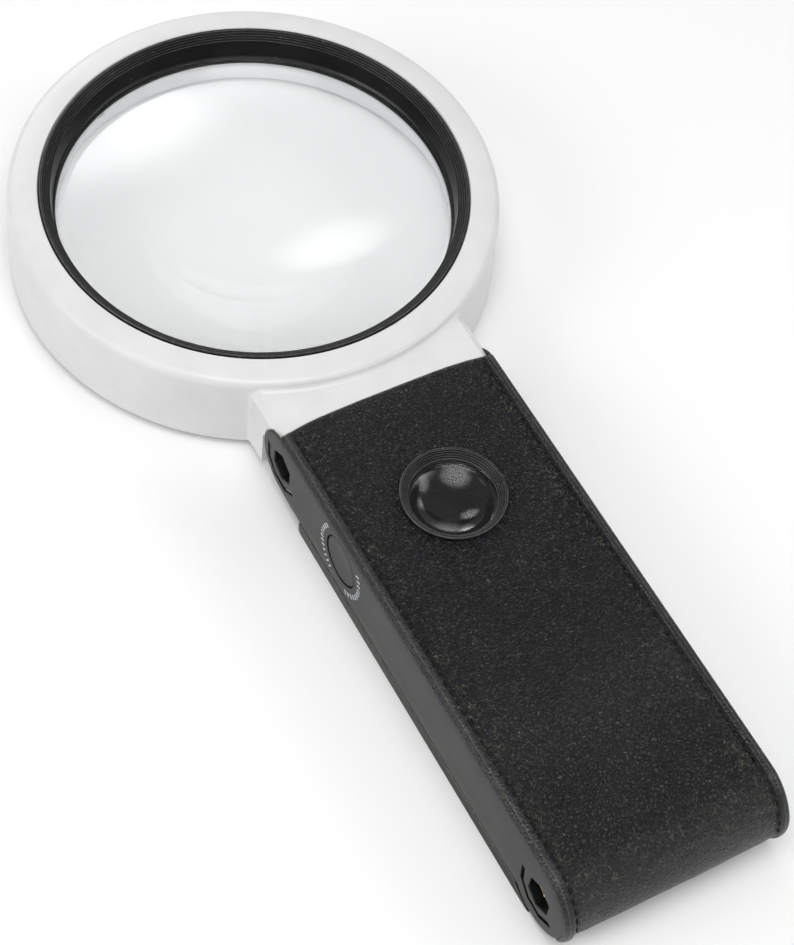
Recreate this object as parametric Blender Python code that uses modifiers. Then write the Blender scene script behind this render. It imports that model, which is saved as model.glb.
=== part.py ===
"""Folding hand lens: a round lens head on a leather-covered battery handle with a fold-out stand leg.

Metres, +Z up. The origin is at the bottom centre of the folded-flat object: the leg's underside is z = 0,
the long axis is Y with the lens head towards +Y, and the power button is on the -X side.
Each object is one separate physical piece. The head hangs on the tilt axis, the leg on the leg axis.
"""

import math

import bmesh
import bpy
from mathutils import Matrix, Vector

# ---- driving dimensions ----
HANDLE_TOP = 0.0252  # height of the leather's top
HEAD_RADIUS = 0.0655  # outside of the white lens head
RIM_WIDTH = 0.0088  # the white top face, from the black ring out to the wall
NECK_LENGTH = 0.0106  # from the head's wall to the tilt axis
HEAD_WALL = 0.0023
HEAD_BOTTOM = 0.0023  # height of the head's underside above the table
HEAD_TOP = HANDLE_TOP + 0.0015  # height of the white top face
RING_TOP = HEAD_TOP + 0.0004  # height of the black ring's lip
RING_RADIUS = HEAD_RADIUS - RIM_WIDTH  # outside of the black retaining ring
RING_WALL = 0.0010  # ring's top lip, measured across
LENS_RADIUS = RING_RADIUS - 0.0027
LENS_RIM = 0.0030  # edge thickness of the main lens
LENS_BULGE = 0.0060  # how far each face of the main lens stands out of its rim
LENS_RIM_TOP = RING_TOP - 0.0081
HEAD_SHOULDER = 0.0022  # rounding between the head's top and its wall
HEAD_FOOT = 0.0010  # rounding at the wall's foot
HEAD_FLARE = 0.0005  # the wall is this much wider at its foot
HEAD_CROWN = 0.0003  # the flat top stands this much above the shoulder
HEAD_ROOF = 0.0025  # thickness of the head's top over its hollow
BORE_WALL = 0.0022  # thickness of the tube round the retaining ring
HOLLOW_CHAMFER = 0.0014
RING_STEPS = 4
RING_STEP_DROP = 0.0005
SEAT_THICKNESS = 0.0005
SEAT_LIFT = 0.0002  # seat ring above its ledge
SEAT_ROOM = 0.0009  # from the ledge up to the lens's rim
LENS_SIGHT_RADIUS = LENS_RADIUS - 0.0013  # clear radius left by the ring over the lens
LEDGE_RADIUS = LENS_RADIUS - 0.0016
LEDGE_THICKNESS = 0.0020
LED_COUNT = 8
HEAD_SCREW_COUNT = 4
HEAD_SCREW_POST = 0.0028
HEAD_SCREW_POST_LOW = 0.0045
HEAD_SCREW_PILOT = 0.0010
HEAD_SCREW_REACH = 0.0100
WINDOW_WIDTH = 0.0038  # the lamp window, measured across
WINDOW_FLANGE = 0.0012
FLANGE_LOW = 0.0046
FLANGE_THICKNESS = 0.0008
WINDOW_WALL = 0.0006
BOARD_LOW = 0.0080
BOARD_THICKNESS = 0.0010
LED_LENGTH = 0.0030
LED_WIDTH = 0.0028
LED_HEIGHT = 0.0011
REAR_COVER_TOP = 0.0043
COVER_LIFT = 0.0002  # rear cover inside the head's foot
COVER_HOLE = 0.00125
COVER_SINK = 0.0019
COVER_SINK_DEPTH = 0.0010

HEAD_TO_TILT = HEAD_RADIUS + NECK_LENGTH  # lens axis to tilt axis
TILT_TO_LEG = 0.1273  # tilt axis to leg axis
HANDLE_HALF_WIDTH = 0.0305  # outside of the side plates
HANDLE_BOTTOM = 0.0045  # height of the housing's underside
SIDE_PLATE = 0.0020
LEATHER = 0.0008
TOP_PANEL = 0.0012
LEATHER_FRONT = 0.0025  # leather's front edge, ahead of the tilt axis
TAIL_LEATHER_INSET = 0.0010  # how far the leather sinks below the side plates' rims at the tail
TAIL_WRAP_END = 210.0  # degrees from +Y over the top to where the leather ends under the tail

NECK_HALF_WIDTH = 0.0297
NECK_DROP = 0.0009  # neck's top below the leather's top
NECK_TOP_ROUND = 0.0035
NECK_UNDER = 0.0008  # neck's underside above the head's underside
CHIN_GAP = 0.0005  # the arc under the neck, inside the ears' radius
CHIN_FRONT = 0.00055  # its front face, beyond the ears' radius
LEAD_HOLE = 0.0014
LEAD_RADIUS = 0.0008

LEG_THICKNESS = 0.0038
LEG_FRONT = 0.0103  # leg's front edge behind the tilt axis
LEG_SKIN = 0.0018
LEG_WALL = 0.0025
LEG_RIB = 0.0016
LEG_POCKET_COUNT = 3
LEG_POCKET_BACK = 0.0150  # last pocket's end ahead of the leg axis
LEG_LIFT_EDGE = 0.0010  # chamfer under the front edge, where a finger lifts the leg
LEG_WEB_REAR = 0.0025

HEX_RADIUS = 0.0046  # hexagonal pockets, across corners / 2
BOSS_RADIUS = 0.0058
BOSS_LENGTH = 0.0045
BOLT_RADIUS = 0.0024
WASHER = 0.0005
GROOVE_RADIUS = 0.0079
GROOVE_WIDTH = 0.0009
GROOVE_DEPTH = 0.0008
GROOVE_START = 15.0  # degrees, where the C starts
GROOVE_PIECE = 40.0  # degrees for each straight piece
POCKET_FLOOR = 0.0012  # thickness of the boss under the hexagonal pocket
PLATE_EDGE = 0.0012  # rounding of the side plate's outer edge

SMALL_LENS_OFFSET = 0.0312  # small lens axis behind the tilt axis
SMALL_SIGHT_RADIUS = 0.0109
SMALL_LENS_RADIUS = 0.0114
SMALL_BEZEL_RADIUS = 0.0134
SMALL_BEZEL_TOP = HANDLE_TOP + 0.0013
SMALL_TUBE_RADIUS = 0.0122
SMALL_RIM_TOP = SMALL_BEZEL_TOP - 0.0027
SMALL_RIM = 0.0027  # edge thickness of the small lens
SMALL_BULGE = 0.0015
SMALL_SKIRT_LOW = SMALL_BEZEL_TOP - 0.0095
SMALL_LIP = 0.0008
SMALL_STEPS = 4
SMALL_STEP_DROP = 0.0005
SMALL_TUBE_WALL = 0.0006  # the tube's bore stands this much inside the sight

BUTTON_RADIUS = 0.00675
BUTTON_HEIGHT = HANDLE_TOP - 0.0095
BUTTON_TRAVEL = 0.0006
BUTTON_FLANGE = 0.0006
BUTTON_FLANGE_THICKNESS = 0.0008
BUTTON_STEM = 0.0020
PLUNGER_RADIUS = 0.0016
SWITCH_LENGTH = 0.0040
SWITCH_HALF = 0.0030
BOARD_TOP = BUTTON_HEIGHT - 0.0046
BOARD_DEPTH = 0.0016

HOUSING_WALL = 0.0018
HOUSING_FLOOR = 0.0030
CELL_RADIUS = 0.0052  # AAA cell
CELL_LENGTH = 0.0435
CELL_PITCH = 0.0125
CELL_COUNT = 3
SPRING_LENGTH = 0.0045
SPRING_RADIUS = 0.0026
SPRING_WIRE = 0.0003
SPRING_ROUNDS = 3.0
CELL_NUB = 0.0010
CELL_NUB_RADIUS = 0.0019
CONTACT_THICKNESS = 0.0005
CONTACT_LOW = 0.0015
CONTACT_HIGH = 0.0105
POST_RADIUS = 0.0026
POST_HOLE = 0.0013
POST_SINK = 0.0023
POST_SINK_DEPTH = 0.0014
POST_DROP = 0.0050  # posts end this far under the housing's top
POST_INSET = 0.0040
DOOR_LEDGE = 0.0015
DOOR_MARGIN = 0.0018
DOOR_HOLE = 0.0012
DOOR_SINK = 0.0021
DOOR_SINK_DEPTH = 0.0007

# ---- clearances ----
GAP = 0.0003  # between pieces that touch
RUN_GAP = 0.0004  # beside a turning part
EAR_GAP = 0.0004  # neck to ear
WASHER_GAP = 0.00025  # on each side of a washer
FACE_GAP = 0.0001  # between faces that only just clear

# ---- segments ----
BIG_SEGMENTS = 48
MID_SEGMENTS = 32
SMALL_SEGMENTS = 14
ARC_STEP = 12.0  # degrees between the points of an outline's arc

# ---- places worked out from the sizes ----
LEG_AXIS_Z = (HANDLE_TOP + GAP) / 2.0
TAIL_RADIUS = HANDLE_TOP - LEG_AXIS_Z
TILT_AXIS_Z = (HANDLE_TOP + HANDLE_BOTTOM) / 2.0
EAR_RADIUS = HANDLE_TOP - TILT_AXIS_Z
LENGTH = HEAD_RADIUS + HEAD_TO_TILT + TILT_TO_LEG + TAIL_RADIUS
LENS_Y = LENGTH / 2.0 - HEAD_RADIUS
TILT_Y = LENS_Y - HEAD_TO_TILT
LEG_Y = TILT_Y - TILT_TO_LEG
SMALL_LENS_Y = TILT_Y - SMALL_LENS_OFFSET
PLATE_INNER_X = HANDLE_HALF_WIDTH - SIDE_PLATE
TUB_HALF_WIDTH = PLATE_INNER_X - GAP
BOSS_END_X = PLATE_INNER_X - BOSS_LENGTH
POCKET_FLOOR_X = BOSS_END_X + POCKET_FLOOR
RECESS_FLOOR_X = BOSS_END_X - WASHER - 2.0 * WASHER_GAP
PANEL_TOP = HANDLE_TOP - LEATHER - GAP / 2.0
PANEL_UNDERSIDE = PANEL_TOP - TOP_PANEL
BARREL_RADIUS = PANEL_UNDERSIDE - GAP - TILT_AXIS_Z
LEG_BARREL_RADIUS = TAIL_RADIUS - TAIL_LEATHER_INSET - LEATHER - GAP / 2.0 - TOP_PANEL - RUN_GAP
REAR_BULKHEAD_Y = LEG_Y + LEG_BARREL_RADIUS + RUN_GAP + GAP
FRONT_BULKHEAD_Y = TILT_Y - EAR_RADIUS - GAP
TUB_TOP = PANEL_UNDERSIDE - GAP / 2.0
TUB_FLOOR_TOP = HANDLE_BOTTOM + HOUSING_FLOOR

FAR = 0.02  # how far a cutter runs past what it cuts

MODEL = bpy.data.collections.new("hand_lens")
CUTTERS = bpy.data.collections.new("cutters")


# ---- helpers ----
def clear_scene():
    for obj in list(bpy.data.objects):
        bpy.data.objects.remove(obj, do_unlink=True)
    bpy.context.scene.collection.children.link(MODEL)
    bpy.context.scene.collection.children.link(CUTTERS)


def plastic(name, color, roughness=0.5, metallic=0.0, transmission=0.0):
    mat = bpy.data.materials.new(name)
    mat.use_nodes = True
    shader = mat.node_tree.nodes["Principled BSDF"]
    shader.inputs["Base Color"].default_value = (*color, 1.0)
    shader.inputs["Roughness"].default_value = roughness
    shader.inputs["Metallic"].default_value = metallic
    shader.inputs["Transmission Weight"].default_value = transmission
    return mat


def add(obj, mat, parent=None, cutter=False):
    """Puts a new object in its collection, gives it its material and hangs it on its axis empty."""
    (CUTTERS if cutter else MODEL).objects.link(obj)
    if cutter:
        obj.hide_render = True
        obj.display_type = "WIRE"
    elif obj.type == "MESH":
        obj.data.materials.clear()
        obj.data.materials.append(mat)
        obj.data.shade_smooth()
        obj.data.set_sharp_from_angle(angle=math.radians(32.0))
    else:
        obj.data.materials.append(mat)
    if parent:
        obj.parent = parent
        obj.matrix_parent_inverse = Matrix.Translation(parent.location).inverted()
    return obj


def axis_empty(name, place):
    empty = bpy.data.objects.new(name, None)
    empty.location = place
    empty.empty_display_size = 0.01
    MODEL.objects.link(empty)
    return empty


def arc(centre, radius, start, end, step=ARC_STEP):
    """Points along an arc, both ends included; angles in degrees from the first axis towards the second."""
    count = max(1, round(abs(end - start) / step))
    turns = [math.radians(start + (end - start) * i / count) for i in range(count + 1)]
    return [(centre[0] + radius * math.cos(t), centre[1] + radius * math.sin(t)) for t in turns]


def mesh_from_curve(curve, matrix):
    """The curve's solid as a welded mesh, with its place baked in and its flat faces made whole."""
    temp = bpy.data.objects.new("temp", curve)
    bpy.context.scene.collection.objects.link(temp)
    bpy.context.view_layer.update()
    mesh = bpy.data.meshes.new_from_object(temp.evaluated_get(bpy.context.evaluated_depsgraph_get()))
    bpy.data.objects.remove(temp, do_unlink=True)
    bm = bmesh.new()
    bm.from_mesh(mesh)
    bmesh.ops.remove_doubles(bm, verts=bm.verts, dist=1e-6)
    bmesh.ops.dissolve_limit(bm, angle_limit=math.radians(0.2), verts=bm.verts, edges=bm.edges)
    bmesh.ops.transform(bm, matrix=matrix, verts=bm.verts)
    bmesh.ops.recalc_face_normals(bm, faces=bm.faces)
    bm.to_mesh(mesh)
    bm.free()
    return mesh


def plate_mesh(points, low, high, axis="X"):
    """A flat outline made thick: points are (y, z) when it runs along X, (x, z) along Y, (x, y) along Z."""
    curve = bpy.data.curves.new("outline", "CURVE")
    curve.dimensions = "2D"
    curve.fill_mode = "BOTH"
    curve.extrude = (high - low) / 2.0
    spline = curve.splines.new("POLY")
    spline.points.add(len(points) - 1)
    for point, (u, v) in zip(spline.points, points):
        point.co = (u, v, 0.0, 1.0)
    spline.use_cyclic_u = True
    turn = {
        "X": Matrix(((0, 0, 1), (1, 0, 0), (0, 1, 0))),
        "Y": Matrix(((1, 0, 0), (0, 0, -1), (0, 1, 0))),
        "Z": Matrix.Identity(3),
    }[axis].to_4x4()
    middle = (low + high) / 2.0
    shift = {"X": (middle, 0, 0), "Y": (0, middle, 0), "Z": (0, 0, middle)}[axis]
    return mesh_from_curve(curve, Matrix.Translation(shift) @ turn)


def plate(name, points, low, high, mat=None, axis="X", parent=None, cutter=False):
    return add(bpy.data.objects.new(name, plate_mesh(points, low, high, axis)), mat, parent, cutter)


def box(name, low, high, mat=None, parent=None, cutter=False):
    bm = bmesh.new()
    bmesh.ops.create_cube(bm, size=1.0)
    size = Vector(high) - Vector(low)
    bmesh.ops.scale(bm, vec=size, verts=bm.verts)
    mesh = bpy.data.meshes.new(name)
    bm.to_mesh(mesh)
    bm.free()
    obj = bpy.data.objects.new(name, mesh)
    obj.location = (Vector(high) + Vector(low)) / 2.0
    return add(obj, mat, parent, cutter)


def rod(name, start, end, radius, sides=SMALL_SEGMENTS, mat=None, parent=None, cutter=False, turn=0.0):
    """A round (or, with few sides, polygonal) bar between two points."""
    along = Vector(end) - Vector(start)
    bm = bmesh.new()
    bmesh.ops.create_cone(
        bm, cap_ends=True, segments=sides, radius1=radius, radius2=radius, depth=along.length
    )
    bmesh.ops.rotate(bm, cent=(0, 0, 0), matrix=Matrix.Rotation(math.radians(turn), 3, "Z"), verts=bm.verts)
    mesh = bpy.data.meshes.new(name)
    bm.to_mesh(mesh)
    bm.free()
    obj = bpy.data.objects.new(name, mesh)
    obj.location = (Vector(start) + Vector(end)) / 2.0
    obj.rotation_euler = along.to_track_quat("Z", "Y").to_euler()
    return add(obj, mat, parent, cutter)


def turned(name, profile, place, segments, mat=None, parent=None, cutter=False, closed=True, turn=(0, 0, 0)):
    """A profile of (radius, height) points turned about its own Z axis with a Screw modifier.

    It runs down its outer side. An open profile starts and ends on the axis.
    """
    mesh = bpy.data.meshes.new(name)
    edges = [(i, i + 1) for i in range(len(profile) - 1)]
    if closed:
        edges.append((len(profile) - 1, 0))
    mesh.from_pydata([(r, 0.0, z) for r, z in profile], edges, [])
    obj = bpy.data.objects.new(name, mesh)
    obj.location = place
    obj.rotation_euler = turn
    (CUTTERS if cutter else MODEL).objects.link(obj)
    screw = obj.modifiers.new("turn", "SCREW")
    screw.steps = segments
    screw.render_steps = segments
    screw.use_merge_vertices = True
    screw.merge_threshold = 0.00001
    screw.use_smooth_shade = True
    if cutter:
        obj.hide_render = True
        obj.display_type = "WIRE"
    else:
        mesh.materials.append(mat)
    if parent:
        obj.parent = parent
        obj.matrix_parent_inverse = Matrix.Translation(parent.location).inverted()
    return obj


def shape(target, tool, operation="DIFFERENCE"):
    modifier = target.modifiers.new(tool.name, "BOOLEAN")
    modifier.operation = operation
    modifier.solver = "EXACT"
    modifier.object = tool


def cut(target, *tools):
    for tool in tools:
        shape(target, tool)


def join(target, *tools):
    for tool in tools:
        shape(target, tool, "UNION")


def tube_along(name, points, radius, mat, parent=None, resolution=1):
    curve = bpy.data.curves.new(name, "CURVE")
    curve.dimensions = "3D"
    curve.bevel_depth = radius
    curve.bevel_resolution = resolution
    curve.use_fill_caps = True
    spline = curve.splines.new("POLY")
    spline.points.add(len(points) - 1)
    for point, place in zip(spline.points, points):
        point.co = (*place, 1.0)
    return add(bpy.data.objects.new(name, curve), mat, parent)


# ---- lens head ----
def head_outline():
    """The head's outside, from the middle of its top down to the middle of its underside."""
    centre = (HEAD_RADIUS - HEAD_FLARE - HEAD_SHOULDER, HEAD_TOP - HEAD_CROWN - HEAD_SHOULDER)
    return [
        (0.0, HEAD_TOP),
        (centre[0] - HEAD_CROWN, HEAD_TOP),
        *arc(centre, HEAD_SHOULDER, 90.0, 0.0, 22.5),
        *arc((HEAD_RADIUS - HEAD_FOOT, HEAD_BOTTOM + HEAD_FOOT), HEAD_FOOT, 0.0, -90.0, 45.0),
        (0.0, HEAD_BOTTOM),
    ]


def head_screw_places():
    radius = (RING_RADIUS + HEAD_RADIUS) / 2.0 - 0.0005
    turns = [math.radians(45.0 + 360.0 * i / HEAD_SCREW_COUNT) for i in range(HEAD_SCREW_COUNT)]
    return [(radius * math.cos(t), LENS_Y + radius * math.sin(t)) for t in turns]


def ledge_top():
    return LENS_RIM_TOP - LENS_RIM - SEAT_ROOM


def make_neck_blank(head):
    """The block from the ring's wall back to the leather, the turning barrel, and the room round the ears."""
    neck_top = HANDLE_TOP - NECK_DROP
    half = NECK_HALF_WIDTH
    corner = NECK_TOP_ROUND
    section = [
        (-half, HEAD_BOTTOM + NECK_UNDER),
        (half, HEAD_BOTTOM + NECK_UNDER),
        *arc((half - corner, neck_top - corner), corner, 0.0, 90.0, 22.5),
        *arc((-half + corner, neck_top - corner), corner, 90.0, 180.0, 22.5),
    ]
    ring_side_y = LENS_Y - RING_RADIUS
    neck = plate(
        "neck_block", section, TILT_Y + LEATHER_FRONT + GAP, ring_side_y, axis="Y", cutter=True
    )
    barrel_half = PLATE_INNER_X - EAR_GAP - FACE_GAP
    barrel = rod(
        "neck_barrel",
        (-barrel_half, TILT_Y, TILT_AXIS_Z),
        (barrel_half, TILT_Y, TILT_AXIS_Z),
        BARREL_RADIUS,
        MID_SEGMENTS,
        cutter=True,
    )
    join(head, neck, barrel)
    chin_radius = EAR_RADIUS - CHIN_GAP
    chin_front = EAR_RADIUS + CHIN_FRONT
    chin = [
        *arc((TILT_Y, TILT_AXIS_Z), chin_radius, 0.0, -90.0),
        (TILT_Y, TILT_AXIS_Z - FAR),
        (TILT_Y + chin_front, TILT_AXIS_Z - FAR),
        (TILT_Y + chin_front, TILT_AXIS_Z),
    ]
    cut(head, plate("chin_cutter", chin, -FAR * 2, FAR * 2, cutter=True))
    for side, sign in (("left", -1.0), ("right", 1.0)):
        ear_room = rod(
            f"ear_cutter_{side}",
            (sign * barrel_half, TILT_Y, TILT_AXIS_Z),
            (sign * (HANDLE_HALF_WIDTH + 0.002), TILT_Y, TILT_AXIS_Z),
            EAR_RADIUS + EAR_GAP,
            BIG_SEGMENTS,
            cutter=True,
        )
        recess = rod(
            f"recess_cutter_{side}",
            (sign * RECESS_FLOOR_X, TILT_Y, TILT_AXIS_Z),
            (sign * (HANDLE_HALF_WIDTH + 0.001), TILT_Y, TILT_AXIS_Z),
            BOSS_RADIUS + GAP,
            MID_SEGMENTS,
            cutter=True,
        )
        cut(head, ear_room, recess)
    bolt_room = rod(
        "tilt_bolt_cutter",
        (-RECESS_FLOOR_X - 0.001, TILT_Y, TILT_AXIS_Z),
        (RECESS_FLOOR_X + 0.001, TILT_Y, TILT_AXIS_Z),
        BOLT_RADIUS + GAP,
        cutter=True,
    )
    lead_room = rod(
        "lead_channel_cutter",
        (0.0, TILT_Y - BARREL_RADIUS - 0.001, lead_height()),
        (0.0, LENS_Y - RING_RADIUS - 0.004, lead_height()),
        LEAD_HOLE,
        10,
        cutter=True,
    )
    cut(head, bolt_room, lead_room)


def lead_height():
    return TILT_AXIS_Z + BOLT_RADIUS + GAP + 0.0025


def make_head_shell(mat, tilt):
    head = turned("head_shell", head_outline(), (0, LENS_Y, 0), BIG_SEGMENTS, mat, tilt, closed=False)
    make_neck_blank(head)
    bore = RING_RADIUS + GAP
    well = [
        (0.0, HEAD_TOP + FAR),
        (bore, HEAD_TOP + FAR),
        (bore, ledge_top()),
        (LEDGE_RADIUS, ledge_top()),
        (LEDGE_RADIUS, HEAD_BOTTOM - FAR),
        (0.0, HEAD_BOTTOM - FAR),
    ]
    inner_tube = bore + BORE_WALL
    wall = HEAD_RADIUS - HEAD_WALL
    roof = HEAD_TOP - HEAD_ROOF
    ledge_underside = ledge_top() - LEDGE_THICKNESS
    cavity = [
        (inner_tube, roof),
        (wall - HOLLOW_CHAMFER, roof),
        (wall, roof - HOLLOW_CHAMFER),
        (wall, HEAD_BOTTOM - FAR),
        (LEDGE_RADIUS - 0.002, HEAD_BOTTOM - FAR),
        (LEDGE_RADIUS - 0.002, ledge_underside),
        (inner_tube, ledge_underside),
    ]
    cut(
        head,
        turned("well_cutter", well, (0, LENS_Y, 0), BIG_SEGMENTS, closed=False, cutter=True),
        turned("cavity_cutter", cavity, (0, LENS_Y, 0), BIG_SEGMENTS, cutter=True),
    )
    for i, (x, y) in enumerate(head_screw_places(), 1):
        post_low, pilot_high = (x, y, HEAD_SCREW_POST_LOW), (x, y, HEAD_BOTTOM + HEAD_SCREW_REACH + 2.0 * GAP)
        post = rod(f"head_post_{i}", post_low, (x, y, roof + 0.001), HEAD_SCREW_POST, 12, cutter=True)
        pilot = rod(f"head_pilot_{i}", (x, y, 0.002), pilot_high, HEAD_SCREW_PILOT, 8, cutter=True)
        join(head, post)
        cut(head, pilot)
    return head


def make_retaining_ring(mat, tilt):
    """The stepped black ring that holds the main lens down, with a skirt round the lens's rim."""
    lip_inner = RING_RADIUS - RING_WALL
    throat = LENS_SIGHT_RADIUS + GAP
    step_in = (lip_inner - throat) / RING_STEPS
    inside = [(lip_inner, RING_TOP)]
    for i in range(RING_STEPS):
        low = RING_TOP - RING_STEP_DROP * (i + 1)
        inside.append((lip_inner - step_in * i, low))
        inside.append((lip_inner - step_in * (i + 1), low))
    skirt = LENS_RADIUS + GAP
    profile = [
        (RING_RADIUS, RING_TOP),
        (RING_RADIUS, ledge_top() + GAP),
        (skirt, ledge_top() + GAP),
        (skirt, LENS_RIM_TOP + GAP),
        (LENS_SIGHT_RADIUS, LENS_RIM_TOP + GAP),
        *reversed(inside),
    ]
    return turned("lens_retaining_ring", profile, (0, LENS_Y, 0), BIG_SEGMENTS, mat, tilt)


def lens_profile(radius, dome, rim_top, rim, bulge, steps):
    """A double-convex lens: each face an arc out to dome that stands bulge out of a flat-sided rim."""
    face = (dome * dome + bulge * bulge) / (2.0 * bulge)
    reach = math.degrees(math.asin(dome / face))
    top = arc((0.0, rim_top + bulge - face), face, 90.0, 90.0 - reach, reach / steps)
    low = arc((0.0, rim_top - rim - bulge + face), face, -90.0 + reach, -90.0, reach / steps)
    top[0] = (0.0, top[0][1])
    low[-1] = (0.0, low[-1][1])
    return top + [(radius, rim_top), (radius, rim_top - rim)] + low


def make_head_insides(mats, tilt):
    here = (0, LENS_Y, 0)
    seat_low = ledge_top() + SEAT_LIFT
    seat = [
        (LENS_RADIUS, seat_low + SEAT_THICKNESS),
        (LENS_RADIUS, seat_low),
        (LENS_SIGHT_RADIUS, seat_low),
        (LENS_SIGHT_RADIUS, seat_low + SEAT_THICKNESS),
    ]
    turned("lens_seat_ring", seat, here, BIG_SEGMENTS, mats["rubber"], tilt)
    lens = lens_profile(LENS_RADIUS, LEDGE_RADIUS, LENS_RIM_TOP, LENS_RIM, LENS_BULGE, 5)
    turned("main_lens", lens, here, BIG_SEGMENTS, mats["clear"], tilt, closed=False)

    lip = LEDGE_RADIUS + FACE_GAP
    window_edge = lip + WINDOW_WIDTH
    flange = window_edge + WINDOW_FLANGE
    flange_top = FLANGE_LOW + FLANGE_THICKNESS
    window_low = HEAD_BOTTOM + FACE_GAP + GAP
    window_top = ledge_top() - LEDGE_THICKNESS - GAP
    diffuser = [
        (lip + WINDOW_WALL, window_top),
        (lip + WINDOW_WALL, flange_top),
        (flange, flange_top),
        (flange, FLANGE_LOW),
        (window_edge, FLANGE_LOW),
        (window_edge, window_low),
        (lip, window_low),
        (lip, window_top),
    ]
    turned("light_diffuser", diffuser, here, BIG_SEGMENTS, mats["milky"], tilt)

    board_inner = lip + WINDOW_WALL + GAP
    board_outer = flange - FACE_GAP
    board_top = BOARD_LOW + BOARD_THICKNESS
    board = [
        (board_outer, board_top),
        (board_outer, BOARD_LOW),
        (board_inner, BOARD_LOW),
        (board_inner, board_top),
    ]
    turned("led_board", board, here, BIG_SEGMENTS, mats["board"], tilt)
    led_radius = (board_inner + board_outer) / 2.0
    for i in range(LED_COUNT):
        turn = math.radians(360.0 * (i + 0.5) / LED_COUNT)
        x = led_radius * math.cos(turn)
        y = LENS_Y + led_radius * math.sin(turn)
        high = BOARD_LOW - GAP
        half = Vector((LED_LENGTH, LED_WIDTH, LED_HEIGHT)) / 2.0
        led = box(f"led_{i + 1}", -half, half, mats["led"], tilt)
        led.location = (x, y, high - half.z)
        led.rotation_euler = (0.0, 0.0, turn)

    cover_inner = window_edge + GAP
    cover_outer = HEAD_RADIUS - HEAD_WALL - GAP
    cover = [
        (cover_outer, REAR_COVER_TOP),
        (cover_outer, HEAD_BOTTOM + COVER_LIFT),
        (cover_inner, HEAD_BOTTOM + COVER_LIFT),
        (cover_inner, REAR_COVER_TOP),
    ]
    rear = turned("head_rear_cover", cover, here, BIG_SEGMENTS, mats["white"], tilt)
    sink_top = HEAD_BOTTOM + COVER_SINK_DEPTH
    for i, (x, y) in enumerate(head_screw_places(), 1):
        cut(
            rear,
            rod(f"cover_hole_{i}", (x, y, 0.0), (x, y, 0.006), COVER_HOLE, 10, cutter=True),
            rod(f"cover_sink_{i}", (x, y, 0.0), (x, y, sink_top), COVER_SINK, 12, cutter=True),
        )
        foot = (x, y, HEAD_BOTTOM + GAP)
        sizes = (COVER_SINK - GAP, 0.0005, HEAD_SCREW_PILOT - GAP, HEAD_SCREW_REACH)
        make_screw(f"head_screw_{i}", foot, sizes, mats, tilt)


def make_screw(name, foot, sizes, mats, parent=None):
    """A screw driven upwards from foot. Its sizes are head radius, head height, shank radius and reach."""
    head_radius, head_height, shank_radius, reach = sizes
    profile = [
        (0.0, reach),
        (shank_radius * 0.6, reach),
        (shank_radius, reach - shank_radius),
        (shank_radius, head_height),
        (head_radius, head_height),
        (head_radius, 0.0),
        (0.0, 0.0),
    ]
    return turned(name, profile, foot, 10, mats["steel"], parent, closed=False)


# ---- handle ----
def side_outline(inset=0.0):
    """The handle seen from the side: round ear in front, round tail behind, its centre line straight."""
    ear = EAR_RADIUS - inset
    tail = TAIL_RADIUS - inset
    floor = HANDLE_BOTTOM + inset
    meet = math.degrees(math.asin((LEG_AXIS_Z - floor) / tail))
    return [
        *arc((TILT_Y, TILT_AXIS_Z), ear, -90.0, 90.0),
        *arc((LEG_Y, LEG_AXIS_Z), tail, 90.0, 360.0 - meet),
    ]


def c_groove(centre):
    """A C of straight pieces round a pivot, open towards the top."""
    corners = [math.radians(GROOVE_START - GROOVE_PIECE * i) for i in range(5)]
    outer = GROOVE_RADIUS + GROOVE_WIDTH / 2.0
    inner = GROOVE_RADIUS - GROOVE_WIDTH / 2.0
    ring = [(outer, t) for t in corners] + [(inner, t) for t in reversed(corners)]
    return [(centre[0] + r * math.cos(t), centre[1] + r * math.sin(t)) for r, t in ring]


def round_outer_edge(mesh, face_x, width):
    """Rounds the rim of the plate's outer face with a bevel."""
    bm = bmesh.new()
    bm.from_mesh(mesh)
    rim = [e for e in bm.edges if all(abs(v.co.x - face_x) < 1e-6 for v in e.verts)]
    bmesh.ops.bevel(bm, geom=rim, offset=width, segments=1, profile=0.5, affect="EDGES")
    bmesh.ops.recalc_face_normals(bm, faces=bm.faces)
    bm.to_mesh(mesh)
    bm.free()


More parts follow.
